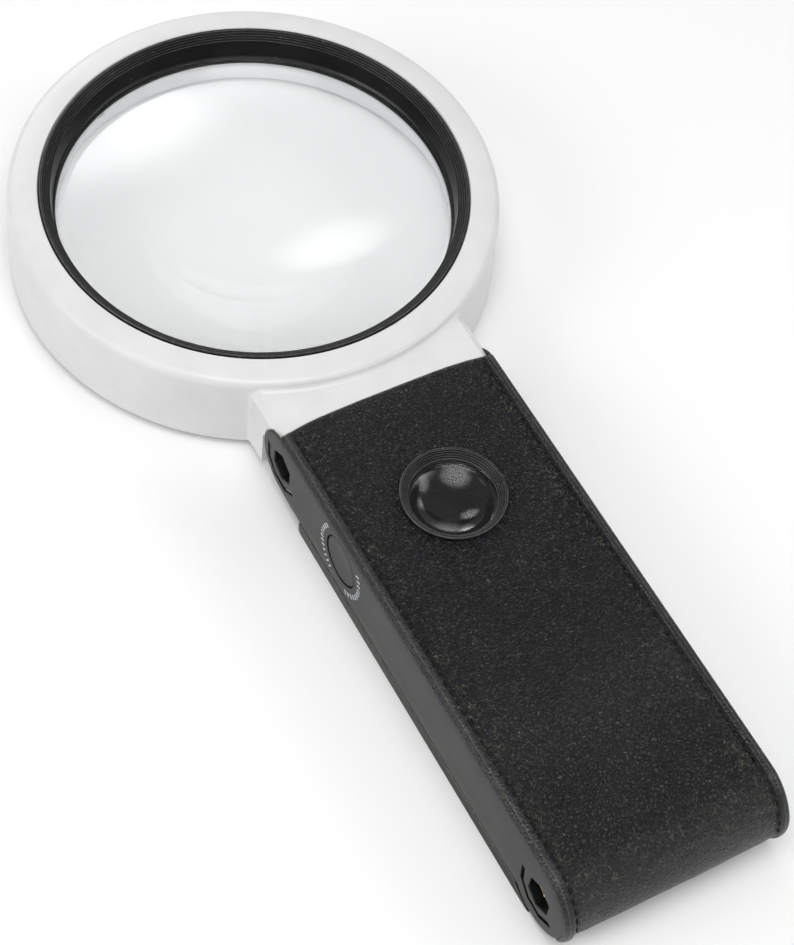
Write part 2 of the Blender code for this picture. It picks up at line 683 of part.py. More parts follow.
def make_side_plate(side, sign, mat):
    name = f"side_plate_{side}"
    low, high = sorted((sign * PLATE_INNER_X, sign * HANDLE_HALF_WIDTH))
    mesh = plate_mesh(side_outline(), low, high)
    round_outer_edge(mesh, sign * HANDLE_HALF_WIDTH, PLATE_EDGE)
    side_plate = add(bpy.data.objects.new(name, mesh), mat)
    for pivot, (y, z) in (("tilt", (TILT_Y, TILT_AXIS_Z)), ("leg", (LEG_Y, LEG_AXIS_Z))):
        boss = rod(
            f"{pivot}_boss_{side}",
            (sign * BOSS_END_X, y, z),
            (sign * (PLATE_INNER_X + SIDE_PLATE / 2.0), y, z),
            BOSS_RADIUS,
            MID_SEGMENTS,
            cutter=True,
        )
        join(side_plate, boss)
        pocket = rod(
            f"{pivot}_pocket_{side}",
            (sign * POCKET_FLOOR_X, y, z),
            (sign * (HANDLE_HALF_WIDTH + 0.001), y, z),
            HEX_RADIUS,
            6,
            cutter=True,
        )
        hole = rod(
            f"{pivot}_hole_{side}",
            (sign * (BOSS_END_X - 0.001), y, z),
            (sign * (POCKET_FLOOR_X + 0.001), y, z),
            BOLT_RADIUS + GAP,
            cutter=True,
        )
        groove_low, groove_high = sorted(
            (sign * (HANDLE_HALF_WIDTH - GROOVE_DEPTH), sign * (HANDLE_HALF_WIDTH + 0.001))
        )
        groove = plate(f"{pivot}_groove_{side}", c_groove((y, z)), groove_low, groove_high, cutter=True)
        cut(side_plate, pocket, hole, groove)
    if side == "left":
        hole_end = HANDLE_HALF_WIDTH + FAR
        cut(side_plate, button_room("button_hole", BUTTON_RADIUS + GAP, PLATE_INNER_X - GAP, hole_end))
    return side_plate


def button_room(name, radius, inner_x, outer_x):
    start = (-inner_x, SMALL_LENS_Y, BUTTON_HEIGHT)
    end = (-outer_x, SMALL_LENS_Y, BUTTON_HEIGHT)
    return rod(name, start, end, radius, MID_SEGMENTS - 8, cutter=True)


def tail_radius_at(turn, depth):
    """Radius of the leather's surface round the tail: flush on top, sunk between the rims at the back."""
    flush = math.cos(math.radians(min(turn, 180.0) - 90.0)) ** 2
    return TAIL_RADIUS - TAIL_LEATHER_INSET * (1.0 - flush) - depth


def wrap_path(depth):
    """The line from the front edge over the top and round the tail, this far below the leather's surface."""
    count = round((TAIL_WRAP_END - 90.0) / ARC_STEP)
    turns = [90.0 + (TAIL_WRAP_END - 90.0) * i / count for i in range(count + 1)]
    front = (TILT_Y + LEATHER_FRONT, HANDLE_TOP - depth)
    return [front] + [
        (
            LEG_Y + tail_radius_at(t, depth) * math.cos(math.radians(t)),
            LEG_AXIS_Z + tail_radius_at(t, depth) * math.sin(math.radians(t)),
        )
        for t in turns
    ]


def make_cover(name, depth, thickness, half_width, mat):
    outline = wrap_path(depth) + list(reversed(wrap_path(depth + thickness)))
    return plate(name, outline, -half_width, half_width, mat)


def small_lens_room(name, radius):
    here = (0, SMALL_LENS_Y)
    return rod(name, (*here, -0.01), (*here, 0.04), radius, MID_SEGMENTS, cutter=True)


def housing_screw_places():
    front = FRONT_BULKHEAD_Y - HOUSING_WALL - POST_INSET
    back = REAR_BULKHEAD_Y + HOUSING_WALL + POST_INSET
    across = TUB_HALF_WIDTH - HOUSING_WALL - POST_RADIUS - 3.0 * GAP
    return [(x, y) for y in (front, back) for x in (-across, across)]


def battery_bay():
    """Front and back of the space between the bay's walls."""
    back = REAR_BULKHEAD_Y + HOUSING_WALL
    length = CELL_LENGTH + CELL_NUB + SPRING_LENGTH + 2.0 * CONTACT_THICKNESS + 5.0 * GAP
    return back + length, back


def make_housing(mat):
    """The tub under the leather: floor, side walls, bulkheads, screw posts, and openings for what it holds."""
    front, back = FRONT_BULKHEAD_Y, REAR_BULKHEAD_Y
    tub = box(
        "handle_housing",
        (-TUB_HALF_WIDTH, back, HANDLE_BOTTOM),
        (TUB_HALF_WIDTH, front, TUB_TOP),
        mat,
    )
    bay_front, bay_back = battery_bay()
    inside = TUB_HALF_WIDTH - HOUSING_WALL
    cut(
        tub,
        box(
            "electronics_room",
            (-inside, bay_front + HOUSING_WALL, TUB_FLOOR_TOP),
            (inside, front - HOUSING_WALL, TUB_TOP + 0.01),
            cutter=True,
        ),
        box("battery_room", (-inside, bay_back, TUB_FLOOR_TOP), (inside, bay_front, TUB_TOP + 0.01), cutter=True),
    )
    for i, (x, y) in enumerate(housing_screw_places(), 1):
        post = rod(f"post_{i}", (x, y, TUB_FLOOR_TOP - 0.001), (x, y, post_top()), POST_RADIUS, 12, cutter=True)
        hole = rod(f"post_hole_{i}", (x, y, 0.0), (x, y, post_top() + 0.001), POST_HOLE, 8, cutter=True)
        sink_top = (x, y, HANDLE_BOTTOM + POST_SINK_DEPTH)
        sink = rod(f"post_sink_{i}", (x, y, 0.0), sink_top, POST_SINK, 12, cutter=True)
        join(tub, post)
        cut(tub, hole, sink)
    cut(tub, small_lens_room("floor_lens_hole", SMALL_TUBE_RADIUS + GAP))
    door_low, door_high, plug_low, plug_high = door_boxes()
    grow = Vector((GAP, GAP, 0.0))
    cut(
        tub,
        box("door_recess", Vector(door_low) - grow - Vector((0, 0, 0.01)), Vector(door_high) + grow, cutter=True),
        box("door_opening", Vector(plug_low) - Vector((0, 0, 0.01)), Vector(plug_high), cutter=True),
        rod("door_screw_hole", (0, door_screw_y(), 0.0), (0, door_screw_y(), FAR), DOOR_HOLE, 8, cutter=True),
        button_room("switch_hole", BUTTON_RADIUS + BUTTON_FLANGE + GAP, inside - 0.001, TUB_HALF_WIDTH + 0.002),
        rod(
            "lead_hole",
            (0, front - HOUSING_WALL - 0.001, lead_height()),
            (0, front + 0.001, lead_height()),
            LEAD_HOLE,
            10,
            cutter=True,
        ),
    )
    return tub


def post_top():
    return TUB_TOP - POST_DROP


def door_boxes():
    """The battery door's plate, and the opening through the floor above it that leaves a ledge all round."""
    bay_front, bay_back = battery_bay()
    thickness = HOUSING_FLOOR / 2.0
    half = CELL_PITCH * (CELL_COUNT - 1) / 2.0 + CELL_RADIUS + DOOR_MARGIN
    low = (-half, bay_back + 0.0010, HANDLE_BOTTOM)
    high = (half, bay_front + 0.0040, HANDLE_BOTTOM + thickness)
    opening_low = (-half + DOOR_LEDGE, bay_back + 0.0010 + DOOR_LEDGE, HANDLE_BOTTOM)
    opening_high = (half - DOOR_LEDGE, bay_front - DOOR_LEDGE, TUB_FLOOR_TOP + 0.001)
    return low, high, opening_low, opening_high


def door_screw_y():
    return battery_bay()[0] + DOOR_LEDGE


def make_battery_door(mats):
    low, high = door_boxes()[:2]
    door = box("battery_door", low, (high[0], high[1], high[2] - GAP), mats["black"])
    y = door_screw_y()
    cut(
        door,
        rod("door_hole", (0, y, 0.0), (0, y, FAR), DOOR_HOLE, 8, cutter=True),
        rod("door_sink", (0, y, 0.0), (0, y, HANDLE_BOTTOM + DOOR_SINK_DEPTH), DOOR_SINK, 12, cutter=True),
    )
    sizes = (DOOR_SINK - GAP, 0.0005, DOOR_HOLE - 0.0004, 0.0040)
    make_screw("battery_door_screw", (0, y, HANDLE_BOTTOM + FACE_GAP), sizes, mats)


def make_top_panel(mat):
    panel = make_cover("handle_top_panel", LEATHER + GAP / 2.0, TOP_PANEL, TUB_HALF_WIDTH, mat)
    cut(panel, small_lens_room("panel_lens_hole", SMALL_TUBE_RADIUS + GAP))
    for i, (x, y) in enumerate(housing_screw_places(), 1):
        boss = rod(
            f"panel_boss_{i}",
            (x, y, post_top() + GAP),
            (x, y, PANEL_UNDERSIDE + 0.0005),
            POST_RADIUS,
            12,
            cutter=True,
        )
        pilot = rod(
            f"panel_pilot_{i}",
            (x, y, post_top() - 0.001),
            (x, y, PANEL_UNDERSIDE - 0.0004),
            POST_HOLE,
            8,
            cutter=True,
        )
        join(panel, boss)
        cut(panel, pilot)
    return panel


def make_leather(mat):
    leather = make_cover("leather_cover", 0.0, LEATHER, TUB_HALF_WIDTH, mat)
    cut(leather, small_lens_room("leather_lens_hole", SMALL_TUBE_RADIUS + GAP))
    return leather


def make_small_lens(mats):
    here = (0, SMALL_LENS_Y, 0)
    tube_inner = SMALL_SIGHT_RADIUS - SMALL_TUBE_WALL
    lens = lens_profile(SMALL_LENS_RADIUS, tube_inner, SMALL_RIM_TOP, SMALL_RIM, SMALL_BULGE, 3)
    turned("small_lens", lens, here, MID_SEGMENTS, mats["clear"], closed=False)
    lip = SMALL_BEZEL_RADIUS - SMALL_LIP
    step_in = (lip - SMALL_SIGHT_RADIUS - 0.0002) / SMALL_STEPS
    inside = [(lip, SMALL_BEZEL_TOP)]
    for i in range(SMALL_STEPS):
        low = SMALL_BEZEL_TOP - SMALL_STEP_DROP * (i + 1)
        inside.append((lip - step_in * i, low))
        inside.append((lip - step_in * (i + 1), low))
    skirt_inner = SMALL_LENS_RADIUS + GAP
    bezel = [
        (SMALL_BEZEL_RADIUS, SMALL_BEZEL_TOP),
        (SMALL_BEZEL_RADIUS, HANDLE_TOP + 0.0002),
        (SMALL_TUBE_RADIUS, HANDLE_TOP + 0.0002),
        (SMALL_TUBE_RADIUS, SMALL_SKIRT_LOW),
        (skirt_inner, SMALL_SKIRT_LOW),
        (skirt_inner, SMALL_RIM_TOP + GAP),
        (SMALL_SIGHT_RADIUS, SMALL_RIM_TOP + GAP),
        *reversed(inside),
    ]
    turned("small_lens_bezel", bezel, here, MID_SEGMENTS, mats["black"])
    tube = [
        (skirt_inner - GAP, SMALL_RIM_TOP - SMALL_RIM - GAP),
        (skirt_inner - GAP, SMALL_SKIRT_LOW - GAP),
        (SMALL_TUBE_RADIUS, SMALL_SKIRT_LOW - GAP),
        (SMALL_TUBE_RADIUS, HANDLE_BOTTOM + 0.0002),
        (tube_inner, HANDLE_BOTTOM + 0.0002),
        (tube_inner, SMALL_RIM_TOP - SMALL_RIM - GAP),
    ]
    turned("small_lens_tube", tube, here, MID_SEGMENTS, mats["black"])


def make_button_and_board(mats, slide):
    inner = TUB_HALF_WIDTH - GAP
    stem_end = TUB_HALF_WIDTH - HOUSING_WALL - FACE_GAP
    face = HANDLE_HALF_WIDTH - FACE_GAP
    cap = [
        (0.0, face),
        (BUTTON_RADIUS - 2.0 * GAP, face - FACE_GAP),
        (BUTTON_RADIUS, face - FACE_GAP - 2.0 * GAP),
        (BUTTON_RADIUS, inner),
        (BUTTON_RADIUS + BUTTON_FLANGE, inner),
        (BUTTON_RADIUS + BUTTON_FLANGE, inner - BUTTON_FLANGE_THICKNESS),
        (BUTTON_STEM, inner - BUTTON_FLANGE_THICKNESS),
        (BUTTON_STEM, stem_end),
        (0.0, stem_end),
    ]
    turned(
        "power_button", cap, (0, SMALL_LENS_Y, BUTTON_HEIGHT), MID_SEGMENTS - 8, mats["grey"], slide,
        closed=False, turn=(0, -math.pi / 2.0, 0),
    )
    plunger_tip = stem_end - BUTTON_TRAVEL - FACE_GAP
    switch_face = -plunger_tip + 0.0008
    board_edge = TUB_HALF_WIDTH - HOUSING_WALL - GAP
    board_inner = SMALL_TUBE_RADIUS + 0.0010
    front = FRONT_BULKHEAD_Y - HOUSING_WALL - 0.0100
    back = battery_bay()[0] + HOUSING_WALL + 0.0010
    board_low = BOARD_TOP - BOARD_DEPTH
    box("control_board", (-board_edge, back, board_low), (-board_inner, front, BOARD_TOP), mats["board"])
    switch = box(
        "tact_switch",
        (switch_face, SMALL_LENS_Y - SWITCH_HALF, BOARD_TOP + GAP),
        (switch_face + SWITCH_LENGTH, SMALL_LENS_Y + SWITCH_HALF, BUTTON_HEIGHT + SWITCH_HALF),
        mats["steel"],
    )
    plunger = rod(
        "switch_plunger",
        (-plunger_tip, SMALL_LENS_Y, BUTTON_HEIGHT),
        (switch_face + 0.0012, SMALL_LENS_Y, BUTTON_HEIGHT),
        PLUNGER_RADIUS,
        12,
        cutter=True,
    )
    join(switch, plunger)


def make_batteries(mats):
    """Three cells side by side, head to tail, with a spring on each flat end and a plate at each end wall."""
    bay_front, bay_back = battery_bay()
    z = TUB_FLOOR_TOP + 0.0004 + CELL_RADIUS
    cell = [
        (0.0, CELL_LENGTH + CELL_NUB),
        (CELL_NUB_RADIUS, CELL_LENGTH + CELL_NUB),
        (CELL_NUB_RADIUS, CELL_LENGTH),
        (CELL_RADIUS, CELL_LENGTH),
        (CELL_RADIUS, 0.0),
        (0.0, 0.0),
    ]
    half = CELL_PITCH * (CELL_COUNT - 1) / 2.0 + CELL_RADIUS
    for name, low_y in (("front", bay_front - GAP - CONTACT_THICKNESS), ("rear", bay_back + GAP)):
        box(
            f"battery_contact_{name}",
            (-half, low_y, TUB_FLOOR_TOP + CONTACT_LOW),
            (half, low_y + CONTACT_THICKNESS, TUB_FLOOR_TOP + CONTACT_HIGH),
            mats["steel"],
        )
    clear_front = bay_front - CONTACT_THICKNESS - 2.0 * GAP
    clear_back = bay_back + CONTACT_THICKNESS + 2.0 * GAP
    for i in range(CELL_COUNT):
        x = CELL_PITCH * (i - (CELL_COUNT - 1) / 2.0)
        forward = i % 2 == 0
        flat_y = clear_front - CELL_LENGTH - CELL_NUB if forward else clear_back + CELL_LENGTH + CELL_NUB
        turn = (-math.pi / 2.0, 0, 0) if forward else (math.pi / 2.0, 0, 0)
        turned(f"battery_{i + 1}", cell, (x, flat_y, z), 20, mats["cell"], closed=False, turn=turn)
        spring_start, spring_end = (clear_back, flat_y - GAP) if forward else (flat_y + GAP, clear_front)
        count = 18
        points = []
        for step in range(count + 1):
            share = step / count
            turn_angle = 2.0 * math.pi * SPRING_ROUNDS * share
            y = spring_start + SPRING_WIRE + (spring_end - spring_start - 2.0 * SPRING_WIRE) * share
            turned_x, turned_z = SPRING_RADIUS * math.cos(turn_angle), SPRING_RADIUS * math.sin(turn_angle)
            points.append((x + turned_x, y, z + turned_z))
        tube_along(f"battery_spring_{i + 1}", points, SPRING_WIRE, mats["steel"])


# ---- stand leg ----
def make_leg(mat, leg):
    """A flat leg under the handle, hollowed from above, with a barrel between the side plates' bosses."""
    notch = TAIL_RADIUS + RUN_GAP
    low, high = -LEG_AXIS_Z, LEG_THICKNESS - LEG_AXIS_Z
    meet = math.degrees(math.asin(-high / notch))
    front_y = TILT_Y - LEG_FRONT
    low_reach = math.degrees(math.acos(min(1.0, -low / notch)))
    outline = [
        (front_y, LEG_THICKNESS),
        (front_y, LEG_LIFT_EDGE),
        (front_y - LEG_LIFT_EDGE, 0.0),
        *arc((LEG_Y, LEG_AXIS_Z), notch, -90.0 + low_reach, -meet, 10.0),
    ]
    body = plate("stand_leg", outline, -HANDLE_HALF_WIDTH, HANDLE_HALF_WIDTH, mat, parent=leg)
    barrel_half = PLATE_INNER_X - RUN_GAP
    web = [
        (LEG_Y + 0.0140, 0.0),
        (LEG_Y + 0.0140, LEG_THICKNESS),
        (LEG_Y + 0.0075, LEG_THICKNESS),
        (LEG_Y + 0.0055, LEG_THICKNESS + 0.0035),
        (LEG_Y, LEG_THICKNESS + 0.0035),
        (LEG_Y + LEG_WEB_REAR, LEG_THICKNESS + 0.0008),
        (LEG_Y + LEG_WEB_REAR, 0.0),
    ]
    join(
        body,
        plate("leg_web", web, -barrel_half, barrel_half, cutter=True),
        rod(
            "leg_barrel",
            (-barrel_half, LEG_Y, LEG_AXIS_Z),
            (barrel_half, LEG_Y, LEG_AXIS_Z),
            LEG_BARREL_RADIUS,
            MID_SEGMENTS,
            cutter=True,
        ),
    )
    pocket_front = front_y - LEG_WALL
    pocket_back = LEG_Y + LEG_POCKET_BACK
    pitch = (pocket_front - pocket_back + LEG_RIB) / LEG_POCKET_COUNT
    half = PLATE_INNER_X - 0.0010
    for i in range(LEG_POCKET_COUNT):
        y = pocket_back + pitch * i
        cut(
            body,
            box(f"leg_pocket_{i + 1}", (-half, y, LEG_SKIN), (half, y + pitch - LEG_RIB, 0.01), cutter=True),
        )
    for side, sign in (("left", -1.0), ("right", 1.0)):
        recess = rod(
            f"leg_recess_{side}",
            (sign * RECESS_FLOOR_X, LEG_Y, LEG_AXIS_Z),
            (sign * (HANDLE_HALF_WIDTH - 0.001), LEG_Y, LEG_AXIS_Z),
            BOSS_RADIUS + GAP,
            MID_SEGMENTS,
            cutter=True,
        )
        cut(body, recess)
    bolt_room = rod(
        "leg_bolt_cutter",
        (-RECESS_FLOOR_X - 0.001, LEG_Y, LEG_AXIS_Z),
        (RECESS_FLOOR_X + 0.001, LEG_Y, LEG_AXIS_Z),
        BOLT_RADIUS + GAP,
        cutter=True,
    )
    cut(body, bolt_room)


# ---- pivots and leads ----
def make_pivot(name, y, z, mats):
    """A through bolt with its head in the right plate's pocket, a nut in the left one, and two washers."""
    face_x = PLATE_INNER_X - GAP
    seat_x = POCKET_FLOOR_X + 0.0002
    hex_fit = HEX_RADIUS - RUN_GAP
    bolt = rod(f"{name}_bolt", (seat_x, y, z), (face_x, y, z), hex_fit, 6, mats["brass"])
    shank = rod(
        f"{name}_shank", (-face_x + 0.0005, y, z), (seat_x + 0.001, y, z), BOLT_RADIUS, cutter=True
    )
    join(bolt, shank)
    nut = rod(f"{name}_nut", (-face_x, y, z), (-seat_x, y, z), hex_fit, 6, mats["brass"])
    nut_bore = rod(
        f"{name}_nut_bore", (-face_x - 0.001, y, z), (-seat_x + 0.001, y, z), BOLT_RADIUS + GAP, cutter=True
    )
    cut(nut, nut_bore)
    for side, sign in (("left", -1.0), ("right", 1.0)):
        near = RECESS_FLOOR_X + WASHER_GAP
        washer = rod(
            f"{name}_washer_{side}",
            (sign * near, y, z),
            (sign * (near + WASHER), y, z),
            BOSS_RADIUS - GAP,
            20,
            mats["washer"],
        )
        cut(
            washer,
            rod(
                f"{name}_washer_hole_{side}",
                (sign * (near - 0.001), y, z),
                (sign * (near + WASHER + 0.001), y, z),
                BOLT_RADIUS + GAP,
                cutter=True,
            ),
        )


def make_leads(mats, tilt):
    """The two-core lead to the lamp ring, in two lengths that part at the tilt joint."""
    z = lead_height()
    barrel_edge = math.sqrt(BARREL_RADIUS**2 - (z - TILT_AXIS_Z) ** 2)
    cavity_y = LENS_Y - RING_RADIUS - GAP - BORE_WALL - 0.0020
    drop_z = 0.0096
    head = [
        (0.0, TILT_Y - barrel_edge + 0.0004, z),
        (0.0, cavity_y - 0.0030, z),
        (0.0, cavity_y - 0.0008, z - 0.0005),
        (0.0, cavity_y, z - 0.0022),
        (0.0, cavity_y, drop_z),
    ]
    tube_along("lead_head", head, LEAD_RADIUS, mats["lead"], tilt)
    front = FRONT_BULKHEAD_Y - HOUSING_WALL - 0.0100
    board_inner = SMALL_TUBE_RADIUS + 0.0010
    handle = [
        (0.0, TILT_Y - barrel_edge - 0.0010, z),
        (0.0, FRONT_BULKHEAD_Y - HOUSING_WALL - 0.0008, z),
        (-0.0025, FRONT_BULKHEAD_Y - HOUSING_WALL - 0.0018, z - 0.0008),
        (-board_inner + 0.0005, FRONT_BULKHEAD_Y - HOUSING_WALL - 0.0028, z - 0.0050),
        (-board_inner - 0.0015, front - 0.0012, 0.0128),
        (-board_inner - 0.0015, front - 0.0025, 0.0122),
    ]
    tube_along("lead_handle", handle, LEAD_RADIUS, mats["lead"])


def main():
    clear_scene()
    mats = {
        "white": plastic("white_plastic", (0.80, 0.80, 0.80), 0.35),
        "black": plastic("black_plastic", (0.020, 0.020, 0.022), 0.40),
        "grey": plastic("grey_plastic", (0.085, 0.083, 0.085), 0.55),
        "leather": plastic("leather", (0.030, 0.028, 0.027), 0.60),
        "rubber": plastic("rubber", (0.020, 0.020, 0.020), 0.80),
        "clear": plastic("clear_lens", (0.95, 0.96, 0.96), 0.02, transmission=1.0),
        "milky": plastic("milky_plastic", (0.85, 0.86, 0.86), 0.45),
        "steel": plastic("steel", (0.60, 0.60, 0.60), 0.30, 1.0),
        "brass": plastic("brass", (0.72, 0.55, 0.28), 0.30, 1.0),
        "board": plastic("circuit_board", (0.02, 0.16, 0.07), 0.50),
        "led": plastic("led", (0.90, 0.85, 0.55), 0.40),
        "cell": plastic("battery_sleeve", (0.10, 0.10, 0.12), 0.40),
        "washer": plastic("washer_nylon", (0.70, 0.69, 0.64), 0.50),
        "lead": plastic("lead_sleeve", (0.45, 0.02, 0.02), 0.50),
    }
    tilt = axis_empty("tilt_axis", (0.0, TILT_Y, TILT_AXIS_Z))
    leg = axis_empty("leg_axis", (0.0, LEG_Y, LEG_AXIS_Z))
    press = axis_empty("button_axis", (-HANDLE_HALF_WIDTH, SMALL_LENS_Y, BUTTON_HEIGHT))

    make_head_shell(mats["white"], tilt)
    make_retaining_ring(mats["black"], tilt)
    make_head_insides(mats, tilt)

    make_housing(mats["black"])
    make_top_panel(mats["black"])
    make_leather(mats["leather"])
    for side, sign in (("left", -1.0), ("right", 1.0)):
        make_side_plate(side, sign, mats["grey"])
    make_battery_door(mats)
    screw_sizes = (POST_SINK - RUN_GAP, 0.0009, POST_HOLE - RUN_GAP, 0.0150)
    for i, (x, y) in enumerate(housing_screw_places(), 1):
        make_screw(f"housing_screw_{i}", (x, y, HANDLE_BOTTOM + COVER_LIFT), screw_sizes, mats)
    make_small_lens(mats)
    make_button_and_board(mats, press)
    make_batteries(mats)
    make_leg(mats["grey"], leg)
    make_pivot("tilt", TILT_Y, TILT_AXIS_Z, mats)
    make_pivot("leg", LEG_Y, LEG_AXIS_Z, mats)
    make_leads(mats, tilt)


main()
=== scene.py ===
import math

import bmesh
import bpy
from mathutils import Matrix, Vector, noise


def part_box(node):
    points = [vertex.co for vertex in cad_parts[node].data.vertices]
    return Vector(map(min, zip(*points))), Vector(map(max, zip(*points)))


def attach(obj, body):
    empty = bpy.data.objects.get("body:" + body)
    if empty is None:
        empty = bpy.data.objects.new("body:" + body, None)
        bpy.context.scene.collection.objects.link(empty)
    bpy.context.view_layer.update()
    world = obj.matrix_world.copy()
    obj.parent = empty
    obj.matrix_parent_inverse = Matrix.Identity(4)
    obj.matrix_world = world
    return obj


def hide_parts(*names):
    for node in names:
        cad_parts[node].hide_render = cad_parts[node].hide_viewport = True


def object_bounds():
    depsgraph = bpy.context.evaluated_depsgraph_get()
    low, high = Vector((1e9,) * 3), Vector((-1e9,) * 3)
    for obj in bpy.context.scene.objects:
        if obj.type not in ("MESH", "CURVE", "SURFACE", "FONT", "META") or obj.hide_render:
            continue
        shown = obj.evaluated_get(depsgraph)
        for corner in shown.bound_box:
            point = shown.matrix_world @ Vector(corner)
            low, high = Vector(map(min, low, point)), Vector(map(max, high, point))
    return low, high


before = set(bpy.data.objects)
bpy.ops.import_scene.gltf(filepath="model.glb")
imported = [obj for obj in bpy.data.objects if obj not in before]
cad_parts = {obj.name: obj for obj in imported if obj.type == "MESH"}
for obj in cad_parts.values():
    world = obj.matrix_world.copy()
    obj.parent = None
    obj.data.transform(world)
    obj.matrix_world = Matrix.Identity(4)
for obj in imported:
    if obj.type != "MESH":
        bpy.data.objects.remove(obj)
cadLow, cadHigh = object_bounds()
print("frame loaded")


# ---- places read from the frame ----
def middleOf(node):
    low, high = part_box(node)
    return (low + high) / 2.0


lensCentre = middleOf("main_lens")
smallCentre = middleOf("small_lens")
buttonCentre = middleOf("power_button")
tiltAxis = middleOf("tilt_washer_left")
legAxis = middleOf("leg_washer_left")
tiltY, tiltZ = tiltAxis.y, tiltAxis.z
legY, legZ = legAxis.y, legAxis.z
lensY = lensCentre.y
smallY = smallCentre.y
plateLow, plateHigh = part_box("side_plate_right")
plateInner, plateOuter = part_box("leather_cover")[1].x + 0.0003, plateHigh.x
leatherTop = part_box("leather_cover")[1].z
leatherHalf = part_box("leather_cover")[1].x
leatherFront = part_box("leather_cover")[1].y
earRadius = leatherTop - tiltZ
tailRadius = leatherTop - legZ
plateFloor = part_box("handle_housing")[0].z


# ---- mesh helpers ----
def objectFromBmesh(name, bm):
    mesh = bpy.data.meshes.new(name)
    bm.to_mesh(mesh)
    bm.free()
    obj = bpy.data.objects.new(name, mesh)
    bpy.context.scene.collection.objects.link(obj)
    return obj


def objectFromFaces(name, points, faces):
    bm = bmesh.new()
    verts = [bm.verts.new(p) for p in points]
    for face in faces:
        if len(set(face)) > 2:
            bm.faces.new([verts[i] for i in face])
    bmesh.ops.remove_doubles(bm, verts=bm.verts, dist=1e-7)
    bmesh.ops.dissolve_degenerate(bm, edges=bm.edges, dist=1e-8)
    bmesh.ops.recalc_face_normals(bm, faces=bm.faces)
    return objectFromBmesh(name, bm)


def loft(name, rings, closed=False):
    # rings of the same length, each a closed loop; the ends are capped unless the rings close on themselves
    size = len(rings[0])
    points = [p for ring in rings for p in ring]
    faces = []
    spans = len(rings) if closed else len(rings) - 1
    for i in range(spans):
        a, b = i * size, ((i + 1) % len(rings)) * size
        for j in range(size):
            k = (j + 1) % size
            faces.append((a + j, a + k, b + k, b + j))
    if not closed:
        faces.append(tuple(reversed(range(size))))
        faces.append(tuple(range(len(points) - size, len(points))))
    return objectFromFaces(name, points, faces)


def turned(name, profile, centre, segments, axis="Z", closed=True):
    # profile of (radius, height); an open one starts and ends on the axis
    points, faces = [], []
    for j in range(segments):
        angle = 2.0 * math.pi * j / segments
        c, s = math.cos(angle), math.sin(angle)
        for r, h in profile:
            if axis == "Z":
                points.append((centre[0] + r * c, centre[1] + r * s, centre[2] + h))
            else:
                points.append((centre[0] + h, centre[1] + r * c, centre[2] + r * s))
    size = len(profile)
    for j in range(segments):
        a, b = j * size, ((j + 1) % segments) * size
        for i in range(size if closed else size - 1):
            k = (i + 1) % size
            faces.append((a + i, b + i, b + k, a + k))
    return objectFromFaces(name, points, faces)


def prism(name, outline, low, high, axis="X"):
    # a flat outline made thick: (y, z) along X, (x, z) along Y, (x, y) along Z
    def place(u, v, w):
        return {"X": (w, u, v), "Y": (u, w, v), "Z": (u, v, w)}[axis]

    return loft(name, [[place(u, v, low) for u, v in outline], [place(u, v, high) for u, v in outline]])


def block(name, low, high):
    outline = [(low[0], low[1]), (high[0], low[1]), (high[0], high[1]), (low[0], high[1])]
    return prism(name, outline, low[2], high[2], "Z")


def rod(name, start, end, radius, segments=48, turn=0.0):
    along = (Vector(end) - Vector(start)).normalized()
    side = along.orthogonal().normalized() if abs(along.x) < 0.9 else Vector((0, 1, 0))
    up = along.cross(side)
    rings = []
    for at in (Vector(start), Vector(end)):
        angles = [2.0 * math.pi * j / segments + math.radians(turn) for j in range(segments)]
        rings.append([at + radius * (math.cos(t) * side + math.sin(t) * up) for t in angles])
    return loft(name, rings)


def arc(centre, radius, start, end, step=6.0, count=None):
    # points along an arc, a step of degrees apart or a set number of them
    count = count or max(1, round(abs(end - start) / step))
    turns = [math.radians(start + (end - start) * i / count) for i in range(count + 1)]
    return [(centre[0] + radius * math.cos(t), centre[1] + radius * math.sin(t)) for t in turns]


def hexagons(name, centre, sections):
    # a six-sided bar along X through sections of (x, radius), with one corner up
    turns = [math.radians(30.0 + 60.0 * i) for i in range(6)]
    return loft(
        name,
        [[(x, centre[0] + r * math.cos(t), centre[1] + r * math.sin(t)) for t in turns] for x, r in sections],
    )


def rounded(corners, radius, steps=3):
    # a closed outline with each corner eased; corners are (u, v) or (u, v, own radius)
    out = []
    count = len(corners)
    for i in range(count):
        here = Vector(corners[i][:2])
        before = Vector(corners[i - 1][:2]) - here
        after = Vector(corners[(i + 1) % count][:2]) - here
        own = corners[i][2] if len(corners[i]) > 2 else radius
        own = min(own, before.length * 0.49, after.length * 0.49)
        if own <= 0.0:
            out.append(tuple(here))
            continue
        a, b = here + before.normalized() * own, here + after.normalized() * own
        for k in range(steps + 1):
            t = k / steps
            out.append(tuple(a * (1 - t) ** 2 + here * 2 * t * (1 - t) + b * t * t))
    return out


def smooth(t):
    t = max(0.0, min(1.0, t))
    return t * t * (3.0 - 2.0 * t)


def plain(obj):
    # the object with its modifiers applied, as one plain mesh
    graph = bpy.context.evaluated_depsgraph_get()
    mesh = bpy.data.meshes.new_from_object(obj.evaluated_get(graph))
    obj.modifiers.clear()
    obj.data = mesh
    return obj


def carve(obj, *tools, operation="DIFFERENCE"):
    for tool in tools:
        boolean = obj.modifiers.new(tool.name, "BOOLEAN")
        boolean.operation = operation
        boolean.solver = "EXACT"
        boolean.object = tool
    plain(obj)
    for tool in tools:
        bpy.data.objects.remove(tool, do_unlink=True)
    return obj


